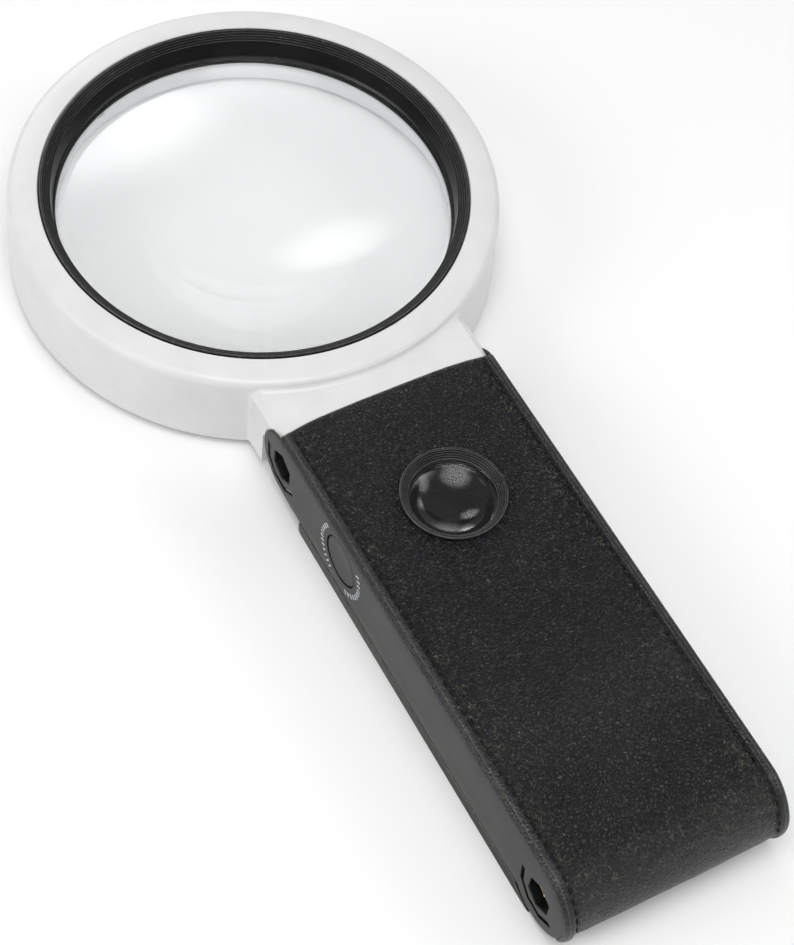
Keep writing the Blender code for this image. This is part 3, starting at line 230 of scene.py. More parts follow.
def easeEdges(obj, width, angle=40.0, steps=2):
    bevel = obj.modifiers.new("ease", "BEVEL")
    bevel.width = width
    bevel.segments = steps
    bevel.limit_method = "ANGLE"
    bevel.angle_limit = math.radians(angle)
    bevel.use_clamp_overlap = True
    bevel.miter_outer = "MITER_ARC"
    return plain(obj)


def copyOfNode(node, name):
    # the frame's own shape, welded and with its flat faces made whole, ready to be refined
    bm = bmesh.new()
    bm.from_mesh(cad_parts[node].data)
    bmesh.ops.remove_doubles(bm, verts=bm.verts, dist=2e-6)
    bmesh.ops.dissolve_limit(bm, angle_limit=math.radians(0.5), verts=bm.verts, edges=bm.edges)
    return objectFromBmesh(name, bm)


def markRims(obj, minAngle=22.0, maxWidth=0.0003):
    # narrow faces that stand on an outward edge are marked for wear and for a painted edge highlight
    bm = bmesh.new()
    bm.from_mesh(obj.data)
    limit = math.radians(minAngle)
    marks = []
    for face in bm.faces:
        longest = max(e.calc_length() for e in face.edges)
        outward = max((e.calc_face_angle_signed(0.0) for e in face.edges), default=0.0)
        marks.append(1.0 if outward > limit and face.calc_area() / max(longest, 1e-9) < maxWidth else 0.0)
    bm.free()
    layer = obj.data.attributes.get("rim") or obj.data.attributes.new("rim", "FLOAT", "FACE")
    layer.data.foreach_set("value", marks)


def settle(obj, body, materials, replaced=(), sharp=30.0):
    # the last step for each piece: smooth faces, material, body and the node it stands for
    if not isinstance(materials, (list, tuple)):
        materials = [materials]
    obj.data.materials.clear()
    for material in materials:
        obj.data.materials.append(material)
    obj.data.shade_smooth()
    obj.data.set_sharp_from_angle(angle=math.radians(sharp))
    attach(obj, body)
    if replaced:
        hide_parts(*replaced)
    return obj


# ---- shader groups ----
def newGroup(name, inputs, outputs):
    tree = bpy.data.node_groups.new(name, "ShaderNodeTree")
    for label, kind, value in inputs:
        socket = tree.interface.new_socket(label, in_out="INPUT", socket_type=kind)
        if value is not None:
            socket.default_value = value
    for label, kind in outputs:
        tree.interface.new_socket(label, in_out="OUTPUT", socket_type=kind)
    return tree, tree.nodes.new("NodeGroupInput"), tree.nodes.new("NodeGroupOutput")


def node(tree, kind, links=(), **values):
    # one node with its settings, its unlinked inputs and its links
    made = tree.nodes.new(kind)
    for key, value in values.items():
        setattr(made, key, value)
    for socket, source in links:
        if isinstance(source, bpy.types.NodeSocket):
            tree.links.new(source, made.inputs[socket])
        else:
            made.inputs[socket].default_value = source
    return made


def ramp(tree, source, stops):
    made = node(tree, "ShaderNodeValToRGB", [("Fac", source)])
    elements = made.color_ramp.elements
    while len(elements) < len(stops):
        elements.new(0.5)
    for element, (at, grey) in zip(elements, stops):
        element.position = at
        element.color = (*grey, 1.0) if isinstance(grey, (list, tuple)) else (grey, grey, grey, 1.0)
    return made.outputs["Color"]


def math2(tree, operation, a, b=0.0, clamp=False):
    return node(
        tree, "ShaderNodeMath", [(0, a), (1, b)], operation=operation, use_clamp=clamp
    ).outputs[0]


def times(tree, *factors):
    # the factors multiplied in order
    product = factors[0]
    for factor in factors[1:]:
        product = math2(tree, "MULTIPLY", product, factor)
    return product


def noiseAt(tree, place, scale, detail, roughness=0.5):
    settings = [("Vector", place), ("Scale", scale), ("Detail", detail), ("Roughness", roughness)]
    return node(tree, "ShaderNodeTexNoise", settings).outputs


def attribute(tree, name):
    return node(tree, "ShaderNodeAttribute", attribute_name=name).outputs["Fac"]


def edgeDistance(tree, place, scale):
    # how far each place is from the nearest border between cells
    settings = [("Vector", place), ("Scale", scale)]
    return node(tree, "ShaderNodeTexVoronoi", settings, feature="DISTANCE_TO_EDGE").outputs["Distance"]


def makeMouldGrain():
    # the fine spark texture of moulded plastic, with broad soft mottling
    tree, inside, out = newGroup(
        "Mould Grain",
        [("Vector", "NodeSocketVector", None), ("Size", "NodeSocketFloat", 0.0004)],
        [("Height", "NodeSocketFloat"), ("Mottle", "NodeSocketFloat")],
    )
    scale = math2(tree, "DIVIDE", 1.0, inside.outputs["Size"])
    fine = noiseAt(tree, inside.outputs["Vector"], scale, 3.0)
    broad = noiseAt(tree, inside.outputs["Vector"], 90.0, 4.0, 0.6)
    tree.links.new(fine["Fac"], out.inputs["Height"])
    tree.links.new(broad["Fac"], out.inputs["Mottle"])
    return tree


def makeEdgeWearAndHighlight():
    # brightens the rims marked by the mesh's own edge attribute, broken up by noise: partly wear, partly a
    # painted edge highlight
    tree, inside, out = newGroup(
        "Edge Wear",
        [("Vector", "NodeSocketVector", None), ("Amount", "NodeSocketFloat", 0.5)],
        [("Mask", "NodeSocketFloat")],
    )
    rim = attribute(tree, "rim")
    patches = noiseAt(tree, inside.outputs["Vector"], 900.0, 3.0)
    broken = times(tree, rim, ramp(tree, patches["Fac"], [(0.35, 0.45), (0.65, 1.0)]))
    mask = math2(tree, "MULTIPLY", broken, inside.outputs["Amount"], clamp=True)
    tree.links.new(mask, out.inputs["Mask"])
    return tree


def makeDust():
    # sparse tiny pale specks that have settled on the surface
    tree, inside, out = newGroup(
        "Dust Specks",
        [
            ("Vector", "NodeSocketVector", None),
            ("Spread", "NodeSocketFloat", 700.0),
            ("Amount", "NodeSocketFloat", 0.3),
        ],
        [("Mask", "NodeSocketFloat")],
    )
    settings = [("Vector", inside.outputs["Vector"]), ("Scale", inside.outputs["Spread"])]
    cells = node(tree, "ShaderNodeTexVoronoi", settings)
    speck = math2(tree, "LESS_THAN", cells.outputs["Distance"], 0.16)
    chosen = node(tree, "ShaderNodeSeparateColor", [("Color", cells.outputs["Color"])])
    rare = math2(tree, "GREATER_THAN", chosen.outputs[0], 0.9)
    mask = times(tree, speck, rare, inside.outputs["Amount"])
    tree.links.new(mask, out.inputs["Mask"])
    return tree


mouldGrain = makeMouldGrain()
edgeWearAndHighlight = makeEdgeWearAndHighlight()
dustSpecks = makeDust()
print("shader groups built")


# ---- materials ----
def newMaterial(name, **values):
    material = bpy.data.materials.new(name)
    material.use_nodes = True
    tree = material.node_tree
    shader = tree.nodes["Principled BSDF"]
    for key, value in values.items():
        shader.inputs[key.replace("_", " ")].default_value = value
    where = tree.nodes.new("ShaderNodeTexCoord").outputs["Object"]
    return material, tree, shader, where


def groupNode(tree, group, **values):
    made = tree.nodes.new("ShaderNodeGroup")
    made.node_tree = group
    for key, value in values.items():
        if isinstance(value, bpy.types.NodeSocket):
            tree.links.new(value, made.inputs[key])
        else:
            made.inputs[key].default_value = value
    return made


def mixColour(tree, factor, first, second):
    made = tree.nodes.new("ShaderNodeMix")
    made.data_type = "RGBA"
    for index, value in ((0, factor), (6, first), (7, second)):
        if isinstance(value, bpy.types.NodeSocket):
            tree.links.new(value, made.inputs[index])
        elif index == 0:
            made.inputs[index].default_value = value
        else:
            made.inputs[index].default_value = (*value, 1.0)
    return made.outputs[2]


def bump(tree, shader, height, strength, distance):
    made = node(
        tree, "ShaderNodeBump", [("Height", height), ("Strength", strength), ("Distance", distance)]
    )
    tree.links.new(made.outputs["Normal"], shader.inputs["Normal"])
    return made


def between(tree, source, low, high):
    # a noise's middle range spread over the wanted one
    settings = [("Value", source), ("From Min", 0.3), ("From Max", 0.7), ("To Min", low), ("To Max", high)]
    return node(tree, "ShaderNodeMapRange", settings).outputs["Result"]


def moulded(name, look):
    # a moulded plastic: base colour that drifts a little, spark texture, rims lightened partly by wear and
    # partly by a painted edge highlight, and specks of dust
    material, tree, shader, where = newMaterial(
        name, IOR=look.get("ior", 1.46), Coat_Weight=look.get("coat", 0.0), Coat_Roughness=0.2
    )
    grain = groupNode(tree, mouldGrain, Vector=where, Size=look["grain"])
    wear = groupNode(tree, edgeWearAndHighlight, Vector=where, Amount=look["wear"])
    dust = groupNode(tree, dustSpecks, Vector=where, Spread=look["dustSpread"], Amount=look["dust"])
    drift = mixColour(
        tree, between(tree, grain.outputs["Mottle"], 0.0, 1.0), look["dark"], look["light"]
    )
    # rims lightened partly by wear and partly by a painted edge highlight
    worn = mixColour(tree, wear.outputs["Mask"], drift, look["rim"])
    dusty = mixColour(tree, dust.outputs["Mask"], worn, look["speck"])
    tree.links.new(dusty, shader.inputs["Base Color"])
    tree.links.new(
        between(tree, grain.outputs["Mottle"], look["gloss"][0], look["gloss"][1]), shader.inputs["Roughness"]
    )
    bump(tree, shader, grain.outputs["Height"], look["depth"], look["grain"] * 0.2)
    return material


# each rim colour is partly wear and partly a painted edge highlight
plasticLooks = {
    "white": dict(
        dark=(0.68, 0.68, 0.685), light=(0.73, 0.73, 0.735), rim=(0.82, 0.82, 0.82), wear=0.3,
        grain=0.0005, depth=0.10, gloss=(0.34, 0.40), dust=0.05, dustSpread=420.0,
        speck=(0.5, 0.48, 0.45), coat=0.15,
    ),
    "black": dict(
        dark=(0.005, 0.005, 0.0055), light=(0.009, 0.009, 0.010), rim=(0.14, 0.14, 0.145), wear=0.5,
        grain=0.0004, depth=0.12, gloss=(0.28, 0.36), ior=1.40, dust=0.25, dustSpread=520.0,
        speck=(0.30, 0.29, 0.27),
    ),
    "grey": dict(
        dark=(0.014, 0.014, 0.0145), light=(0.021, 0.021, 0.0215), rim=(0.22, 0.19, 0.15), wear=0.6,
        grain=0.00025, depth=0.30, gloss=(0.42, 0.50), ior=1.42, dust=0.3, dustSpread=700.0,
        speck=(0.25, 0.24, 0.23),
    ),
    "milky": dict(
        dark=(0.74, 0.75, 0.76), light=(0.80, 0.81, 0.82), rim=(0.85, 0.86, 0.87), wear=0.2,
        grain=0.0006, depth=0.15, gloss=(0.42, 0.50), dust=0.1, dustSpread=500.0, speck=(0.5, 0.5, 0.48),
    ),
    "rubber": dict(
        dark=(0.014, 0.014, 0.014), light=(0.022, 0.022, 0.022), rim=(0.05, 0.05, 0.05), wear=0.2,
        grain=0.0003, depth=0.3, gloss=(0.70, 0.80), dust=0.4, dustSpread=600.0, speck=(0.15, 0.15, 0.14),
    ),
    "nylon": dict(
        dark=(0.62, 0.61, 0.55), light=(0.70, 0.69, 0.63), rim=(0.8, 0.8, 0.75), wear=0.2,
        grain=0.0003, depth=0.2, gloss=(0.45, 0.55), dust=0.2, dustSpread=700.0, speck=(0.3, 0.3, 0.28),
    ),
    "board": dict(
        dark=(0.010, 0.120, 0.050), light=(0.018, 0.160, 0.072), rim=(0.30, 0.26, 0.12), wear=0.2,
        grain=0.0009, depth=0.15, gloss=(0.28, 0.40), dust=0.2, dustSpread=300.0, speck=(0.7, 0.7, 0.65),
    ),
    "lamp": dict(
        dark=(0.82, 0.70, 0.28), light=(0.90, 0.80, 0.40), rim=(0.95, 0.95, 0.9), wear=0.2,
        grain=0.0004, depth=0.1, gloss=(0.22, 0.32), dust=0.1, dustSpread=900.0, speck=(0.5, 0.45, 0.3),
    ),
    "sleeve": dict(
        dark=(0.045, 0.047, 0.060), light=(0.070, 0.072, 0.090), rim=(0.4, 0.4, 0.42), wear=0.3,
        grain=0.0007, depth=0.1, gloss=(0.25, 0.34), dust=0.2, dustSpread=500.0,
        speck=(0.3, 0.3, 0.3), coat=0.4,
    ),
    "lead": dict(
        dark=(0.30, 0.016, 0.014), light=(0.42, 0.030, 0.024), rim=(0.5, 0.2, 0.2), wear=0.2,
        grain=0.0004, depth=0.1, gloss=(0.35, 0.45), dust=0.1, dustSpread=900.0, speck=(0.3, 0.2, 0.2),
    ),
}
plastics = {key: moulded(key.capitalize() + " Plastic", look) for key, look in plasticLooks.items()}


def turnedMetal(name, look):
    # machined metal: fine tool lines and uneven tarnish
    material, tree, shader, where = newMaterial(name, Metallic=1.0)
    grain = groupNode(tree, mouldGrain, Vector=where, Size=look["grain"])
    wear = groupNode(tree, edgeWearAndHighlight, Vector=where, Amount=look["wear"])
    tarnish = mixColour(tree, between(tree, grain.outputs["Mottle"], 0.0, 1.0), look["dark"], look["light"])
    # rims lightened partly by wear and partly by a painted edge highlight
    tree.links.new(mixColour(tree, wear.outputs["Mask"], tarnish, look["rim"]), shader.inputs["Base Color"])
    tree.links.new(
        between(tree, grain.outputs["Height"], look["gloss"][0], look["gloss"][1]), shader.inputs["Roughness"]
    )
    lines = node(
        tree,
        "ShaderNodeTexWave",
        [("Vector", where), ("Scale", look["lines"]), ("Distortion", 2.0), ("Detail", 2.0)],
        wave_type="BANDS",
    )
    bump(tree, shader, lines.outputs["Fac"], 0.15, 0.00005)
    return material


# each rim colour is partly wear and partly a painted edge highlight
metalLooks = {
    "steel": dict(
        dark=(0.42, 0.42, 0.43), light=(0.60, 0.60, 0.61), rim=(0.8, 0.8, 0.8), wear=0.4, grain=0.0006,
        gloss=(0.24, 0.40), lines=1500.0,
    ),
    "brass": dict(
        dark=(0.45, 0.30, 0.12), light=(0.80, 0.62, 0.32), rim=(0.95, 0.85, 0.6), wear=0.6, grain=0.0005,
        gloss=(0.16, 0.34), lines=1300.0,
    ),
}
metals = {key: turnedMetal(key.capitalize() + " Metal", look) for key, look in metalLooks.items()}


def clearMaterial(name, tint, streak, speckled):
    # ground clear plastic: shadow rays go through, so that what lies under the lens stays lit
    material, tree, shader, where = newMaterial(
        name, Transmission_Weight=1.0, IOR=1.49, Roughness=0.0
    )
    dust = groupNode(tree, dustSpecks, Vector=where, Spread=260.0, Amount=speckled)
    haze = noiseAt(tree, where, 28.0, 3.0)["Fac"]
    film = mixColour(tree, between(tree, haze, 0.0, 1.0), tint, streak)
    tree.links.new(mixColour(tree, dust.outputs["Mask"], film, (0.6, 0.6, 0.6)), shader.inputs["Base Color"])
    passing = node(tree, "ShaderNodeBsdfTransparent", [("Color", (*tint, 1.0))])
    rays = tree.nodes.new("ShaderNodeLightPath")
    either = node(
        tree,
        "ShaderNodeMixShader",
        [(0, rays.outputs["Is Shadow Ray"]), (1, shader.outputs["BSDF"]), (2, passing.outputs["BSDF"])],
    )
    tree.links.new(either.outputs[0], tree.nodes["Material Output"].inputs["Surface"])
    return material


mainGlass = clearMaterial("Main Lens Clear", (0.86, 0.863, 0.866), (0.82, 0.823, 0.826), 0.04)
smallGlass = clearMaterial("Small Lens Clear", (0.84, 0.85, 0.86), (0.81, 0.82, 0.83), 0.0)

# among these colours the pale glint colour is painted glints, the worn tone is partly wear and partly a
# painted sheen, the edge colour is a painted highlight along the crease, and the pebble tops are painted
# lighter than the valleys as painted shade
leatherLook = dict(
    base=(0.0070, 0.0074, 0.0096), pebbleTop=(0.015, 0.0155, 0.0185), fleck=(0.46, 0.47, 0.50),
    wornTone=(0.030, 0.0285, 0.0285), crack=(0.34, 0.30, 0.23), edge=(0.15, 0.12, 0.085),
    fineScale=1250.0, pebbleScale=950.0, crackScale=620.0, fleckScale=2400.0,
    slant=-24.0, coarseFrom=0.060, coarseAt=0.008, bumpDepth=0.0010,
)


def makeLeather():
    # glossy pebbled grain with painted pale glints, pebble tops painted lighter than the valleys as painted
    # shade, a painted sheen with the wear towards the tail and a painted highlight along the crease; brown
    # cracks where the mesh marks it as rubbed
    look = leatherLook
    material, tree, shader, where = newMaterial("Grained Leather", Specular_IOR_Level=0.5, IOR=1.52)
    warp = noiseAt(tree, where, 900.0, 2.0)
    shove = node(tree, "ShaderNodeVectorMath", [(0, warp["Color"]), (3, 0.0011)], operation="SCALE").outputs
    moved = node(tree, "ShaderNodeVectorMath", [(0, where), (1, shove["Vector"])], operation="ADD").outputs
    bent = moved["Vector"]
    # fine slanting grain near the lens, growing into pebbles towards the tail
    turn = (0.0, 0.0, math.radians(look["slant"]))
    slanted = node(
        tree, "ShaderNodeMapping", [("Vector", bent), ("Rotation", turn), ("Scale", (0.55, 1.25, 1.0))]
    ).outputs["Vector"]
    fine = edgeDistance(tree, slanted, look["fineScale"])
    coarse = edgeDistance(tree, bent, look["pebbleScale"])
    apart = node(tree, "ShaderNodeSeparateXYZ", [("Vector", where)])
    reach = [("From Min", legY + look["coarseFrom"]), ("From Max", legY + look["coarseAt"])]
    near = node(
        tree, "ShaderNodeMapRange", [("Value", apart.outputs["Y"]), *reach], interpolation_type="SMOOTHSTEP"
    ).outputs["Result"]
    pebbles = node(tree, "ShaderNodeMix", [(0, near), (2, fine), (3, coarse)], data_type="FLOAT").outputs[0]
    cells = edgeDistance(tree, bent, look["crackScale"])
    pores = noiseAt(tree, where, 3000.0, 3.0)["Fac"]
    creases = noiseAt(tree, bent, 420.0, 5.0, 0.7)["Fac"]
    mottle = noiseAt(tree, where, 60.0, 4.0)["Fac"]
    rubbed, border, creased = (attribute(tree, label) for label in ("rubbed", "border", "creased"))
    field = math2(tree, "SUBTRACT", 1.0, border, clamp=True)

    # painted shade: the pebble tops are painted lighter than the valleys between them
    domed = ramp(tree, pebbles, [(0.0, 0.0), (0.10, 0.55), (0.30, 1.0)])
    body = mixColour(tree, times(tree, domed, field), look["base"], look["pebbleTop"])
    # painted highlight: pale glints scattered over the grain
    glintNoise = noiseAt(tree, slanted, look["fleckScale"], 2.0, 0.6)["Fac"]
    catch = ramp(tree, glintNoise, [(0.60, 0.0), (0.70, 1.0)])
    patch = ramp(tree, mottle, [(0.30, 0.4), (0.70, 1.0)])
    glintMask = times(tree, times(tree, catch, patch), times(tree, field, 0.34))
    # painted sheen together with real wear: towards the tail, mostly along the bend, the rubbed parts turn a
    # lighter grey
    wearAndSheen = mixColour(tree, times(tree, rubbed, times(tree, near, 0.75)), body, look["wornTone"])
    glinted = mixColour(tree, glintMask, wearAndSheen, look["fleck"])
    thin = ramp(tree, cells, [(0.0, 1.0), (0.05, 0.0)])
    broken = ramp(tree, creases, [(0.45, 0.0), (0.56, 1.0)])
    crackMask = times(tree, times(tree, thin, broken), times(tree, rubbed, 0.85))
    cracked = mixColour(tree, crackMask, glinted, look["crack"])
    # painted highlight: a light brown line along the crease and the front fold, broken up by noise; the name
    # worn stays
    worn = times(tree, creased, ramp(tree, creases, [(0.36, 0.25), (0.60, 1.0)]))
    tree.links.new(mixColour(tree, worn, cracked, look["edge"]), shader.inputs["Base Color"])

    tree.links.new(between(tree, mottle, 0.28, 0.38), shader.inputs["Roughness"])
    creaseHeight = times(tree, creases, rubbed, 2.2)
    crackHeight = times(tree, thin, rubbed, -0.5)
    grainHeight = math2(tree, "ADD", domed, times(tree, pores, 0.45))
    total = math2(tree, "ADD", grainHeight, math2(tree, "ADD", creaseHeight, crackHeight))
    bump(tree, shader, times(tree, total, math2(tree, "MAXIMUM", field, 0.10)), 1.0, look["bumpDepth"])
    return material


def makeThread():
    material, tree, shader, where = newMaterial("Waxed Thread", Specular_IOR_Level=0.3)
    settings = [("Vector", where), ("Scale", 900.0), ("Distortion", 1.0)]
    plies = node(tree, "ShaderNodeTexWave", settings, wave_type="BANDS")
    colour = mixColour(tree, plies.outputs["Fac"], (0.0010, 0.0010, 0.0010), (0.003, 0.003, 0.003))
    tree.links.new(colour, shader.inputs["Base Color"])
    tree.links.new(between(tree, plies.outputs["Fac"], 0.5, 0.8), shader.inputs["Roughness"])
    bump(tree, shader, plies.outputs["Fac"], 0.6, 0.0001)
    return material


def makeInk():
    material, tree, shader, where = newMaterial("Printed Ink")
    worn = noiseAt(tree, where, 2400.0, 3.0)["Fac"]
    bare = ramp(tree, worn, [(0.38, 1.0), (0.52, 0.0)])
    tree.links.new(mixColour(tree, bare, (0.85, 0.88, 0.92), (0.30, 0.31, 0.33)), shader.inputs["Base Color"])
    tree.links.new(between(tree, worn, 0.4, 0.6), shader.inputs["Roughness"])
    return material


leather = makeLeather()
thread = makeThread()
ink = makeInk()
print("materials built")


# sizes of the side plates, which the lens head also needs
plateLook = dict(
    ear=0.00975, earInner=0.02985, relief=0.0104, drop=0.00125, tailTrim=0.0007, edge=0.00035,
    bossRadius=0.0058, bossEnd=0.0240, pocket=0.0046, pocketFloor=0.0252, pocketEase=0.00025, hole=0.0027,
    groove=0.0073, grooveWidth=0.0014, grooveDepth=0.0010, buttonGap=0.0003,
)


# ---- white lens head ----
headLook = dict(
    segments=192, shoulder=0.0022, topDrop=0.0003, foot=0.0010, flare=0.0005, wall=0.0023, roofDrop=0.0025,
    tubeWall=0.0022, neckHalf=0.0302, recess=0.0297, neckDrop=0.0009, neckChamfer=0.0021, neckEase=0.0012,
    neckUnder=0.0008, neckBack=0.0028, bossStart=0.0230,
    earGap=0.0004, earReach=0.0280, chinGap=0.0005, chinFront=0.00055, barrelDrop=0.00245, fillet=0.0016,
    postRadius=0.0028, postFoot=0.0045, screwCircle=0.0606,
)
headLow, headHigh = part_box("head_shell")
ringLow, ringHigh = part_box("lens_retaining_ring")
headRadius = headHigh.x
ringRadius = ringHigh.x
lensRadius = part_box("main_lens")[1].x
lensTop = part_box("main_lens")[1].z
ledgeTop = ringLow.z - 0.0003


def headScrewPlaces():
    r = headLook["screwCircle"]
    turns = [math.radians(45.0 + 90.0 * i) for i in range(4)]
    return [(r * math.cos(t), lensY + r * math.sin(t)) for t in turns]


def neckSection():
    look = headLook
    half, low = look["neckHalf"], headLow.z + look["neckUnder"]
    top, ease = leatherTop - look["neckDrop"], look["neckEase"]
    corner = look["neckChamfer"] + ease * math.tan(math.radians(22.5))
    side = [low + (top - corner - low) * i / 6 for i in range(6)]
    right = arc((half - ease, top - corner), ease, 0.0, 45.0, 9.0)
    right += arc((half - corner, top - ease), ease, 45.0, 90.0, 9.0)
    left = [(-x, z) for x, z in reversed(right)]
    flat = [((half - corner) * (1.0 - i / 12.0), top) for i in range(1, 24)]
    return [(half, z) for z in side] + right + flat + left + [(-half, z) for z in reversed(side)]


def makeFillet():
    # a swept cove that softens the crease between the neck and the ring's wall
    look = headLook
    section = neckSection()
    shoulderRadius = headRadius - look["flare"] - look["shoulder"]
    shoulderZ = headHigh.z - look["topDrop"] - look["shoulder"]
    size = look["fillet"]
    rings = []
    for i, (x, z) in enumerate(section):
        before, after = section[max(i - 1, 0)], section[min(i + 1, len(section) - 1)]
        along = Vector((after[0] - before[0], 0.0, after[1] - before[1])).normalized()
        neckNormal = Vector((along.z, 0.0, -along.x))
        rise = max(0.0, min(z - shoulderZ, look["shoulder"]))
        slope = math.asin(rise / look["shoulder"])
        wallShare = (shoulderZ - min(z, shoulderZ)) / (shoulderZ - headLow.z)
        radius = shoulderRadius + look["shoulder"] * math.cos(slope) + look["flare"] * wallShare
        y = lensY - math.sqrt(radius**2 - x**2)
        level = math.cos(slope)
        ringNormal = Vector((x / radius * level, (y - lensY) / radius * level, math.sin(slope)))
        crease = Vector((x, y, z))
        both = ringNormal + neckNormal
        centre = crease + both * size / (1.0 + ringNormal.dot(neckNormal))
        first, last = -ringNormal, -neckNormal
        sweep = first.angle(last)
        ring = [crease - both * 0.0005]
        for k in range(7):
            t = k / 6.0
            ray = (first * math.sin((1 - t) * sweep) + last * math.sin(t * sweep)) / math.sin(sweep)
            ring.append(centre + ray * (size + (0.00003 if k in (0, 6) else 0.0)))
        rings.append(ring)
    return loft("filletTool", rings)


def makeHeadShell():
    look = headLook
    segments = look["segments"]
    topRadius = headRadius - look["flare"]
    shoulder, foot = look["shoulder"], look["foot"]
    outside = [
        (0.0, headHigh.z),
        (ringRadius + 0.0012, headHigh.z),
        (topRadius - shoulder - 0.0012, headHigh.z),
        *arc((topRadius - shoulder, headHigh.z - look["topDrop"] - shoulder), shoulder, 85.0, 0.0, 8.0),
        *arc((headRadius - foot, headLow.z + foot), foot, 0.0, -90.0, 15.0),
        (0.0, headLow.z),
    ]
    head = turned("headShell", outside, (0, lensY, 0), segments, closed=False)
    neck = prism("neckTool", neckSection(), tiltY + look["neckBack"], lensY - ringRadius - 0.002, "Y")
    barrelHalf = leatherHalf - look["earGap"] + 0.0002
    barrelRadius = earRadius - look["barrelDrop"]
    barrel = rod("barrelTool", (-barrelHalf, tiltY, tiltZ), (barrelHalf, tiltY, tiltZ), barrelRadius, 64)
    carve(head, neck, operation="UNION")
    carve(head, makeFillet(), operation="UNION")
    carve(head, barrel, operation="UNION")
    far = 0.04
    chin = [
        *arc((tiltY, tiltZ), earRadius - look["chinGap"], 0.0, -90.0, 6.0),
        (tiltY, tiltZ - far),
        (tiltY + earRadius + look["chinFront"], tiltZ - far),
        (tiltY + earRadius + look["chinFront"], tiltZ),
    ]
    tools = [prism("chinTool", chin, -far, far)]
    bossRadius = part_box("tilt_washer_left")[1].z - tiltZ + 0.0006
    for sign in (-1.0, 1.0):
        end = (sign * far, tiltY, tiltZ)
        for label, start, radius, sides in (
            ("earTool", look["recess"], plateLook["ear"] + look["earGap"], 160),
            ("bossTool", look["bossStart"], bossRadius, 64),
        ):
            tools.append(rod(label, (sign * start, tiltY, tiltZ), end, radius, sides))
    bore = ringRadius + 0.0003
    ledgeRadius = lensRadius - 0.0016
    well = [
        (0.0, headHigh.z + far),
        (bore + 0.0003, headHigh.z + far),
        (bore + 0.0003, headHigh.z + 0.0001),
        (bore, headHigh.z - 0.0003),
        (bore, ledgeTop),
        (ledgeRadius, ledgeTop),
        (ledgeRadius, headLow.z - far),
        (0.0, headLow.z - far),
    ]
    wall = headRadius - look["wall"]
    roof = headHigh.z - look["roofDrop"]
    cavity = [
        (bore + look["tubeWall"], roof),
        (wall - 0.0014, roof),
        (wall, roof - 0.0014),
        (wall, headLow.z - far),
        (ledgeRadius - 0.002, headLow.z - far),
        (ledgeRadius - 0.002, ledgeTop - 0.002),
        (bore + look["tubeWall"], ledgeTop - 0.002),
    ]
    tools.append(turned("wellTool", well, (0, lensY, 0), segments, closed=False))
    tools.append(turned("cavityTool", cavity, (0, lensY, 0), segments))
    carve(head, *tools)
    postFoot = look["postFoot"]
    posts = [
        rod("postTool", (x, y, postFoot), (x, y, roof + 0.001), look["postRadius"], 32)
        for x, y in headScrewPlaces()
    ]
    carve(head, *posts, operation="UNION")
    return settle(head, "head", plastics["white"], ["head_shell"], sharp=35.0)


makeHeadShell()
print("lens head made")


# ---- black retaining ring, lens and its seat ----
lensLook = dict(segments=192, rings=30, bulge=0.0060, dome=0.0520, ease=0.00025)
smallLensLook = dict(segments=128, rings=14, bulge=0.0015, dome=0.0103, ease=0.00015)
ringLook = dict(
    segments=192, lip=0.0009, steps=4, stepIn=0.0005, drop=0.0005, throat=0.0533, sight=0.0527, ease=0.00012
)


def makeRetainingRing():
    look = ringLook
    lipInner = ringRadius - look["lip"]
    rimTop = lensTop - lensLook["bulge"] + 0.0003
    inside = [(lipInner, ringHigh.z, 0.0003)]
    for i in range(look["steps"]):
        low = ringHigh.z - look["drop"] * (i + 1)
        inside.append((lipInner - look["stepIn"] * i, low, 0.0001))
        inside.append((lipInner - look["stepIn"] * (i + 1), low, look["ease"]))
    inside.append((look["throat"], rimTop + 0.0006, 0.0002))
    skirt = lensRadius + 0.0003
    profile = [
        (ringRadius, ringHigh.z, 0.0004),
        (ringRadius, ringLow.z, 0.0002),
        (skirt, ringLow.z, 0.0001),
        (skirt, rimTop, 0.0),
        (look["sight"], rimTop, 0.0002),
        *reversed(inside),
    ]
    ring = turned("retainingRing", rounded(profile, look["ease"], 3), (0, lensY, 0), look["segments"])
    markRims(ring, 15.0, 0.0003)
    return settle(ring, "head", plastics["black"], ["lens_retaining_ring"])


def makeLens(name, source, look, material, body):
    low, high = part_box(source)
    centre = (low + high) / 2.0
    radius, dome, bulge = high.x, look["dome"], look["bulge"]
    rimTop, rimLow = high.z - bulge, low.z + bulge
    face = (dome**2 + bulge**2) / (2.0 * bulge)
    reach = math.degrees(math.asin(dome / face))
    step = reach / look["rings"]
    ease = look["ease"]
    top = arc((0.0, high.z - face), face, 90.0, 90.0 - reach, step)
    under = arc((0.0, low.z + face), face, -90.0 + reach, -90.0, step)
    top[0], under[-1] = (0.0, high.z), (0.0, low.z)
    rim = [(radius - ease, rimTop), (radius, rimTop - ease), (radius, rimLow + ease), (radius - ease, rimLow)]
    lens = turned(name, top + rim + under, (0, centre.y, 0), look["segments"], closed=False)
    return settle(lens, body, material, [source])


makeRetainingRing()
makeLens("mainLens", "main_lens", lensLook, mainGlass, "head")


def makeSeatRing():
    low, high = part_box("lens_seat_ring")
    inner = lensRadius - 0.0013
    profile = [(high.x, high.z), (high.x, low.z), (inner, low.z), (inner, high.z)]
    ring = turned("lensSeatRing", rounded(profile, 0.0001, 2), (0, lensY, 0), 192)
    return settle(ring, "head", plastics["rubber"], ["lens_seat_ring"])


makeSeatRing()
print("ring and lens made")


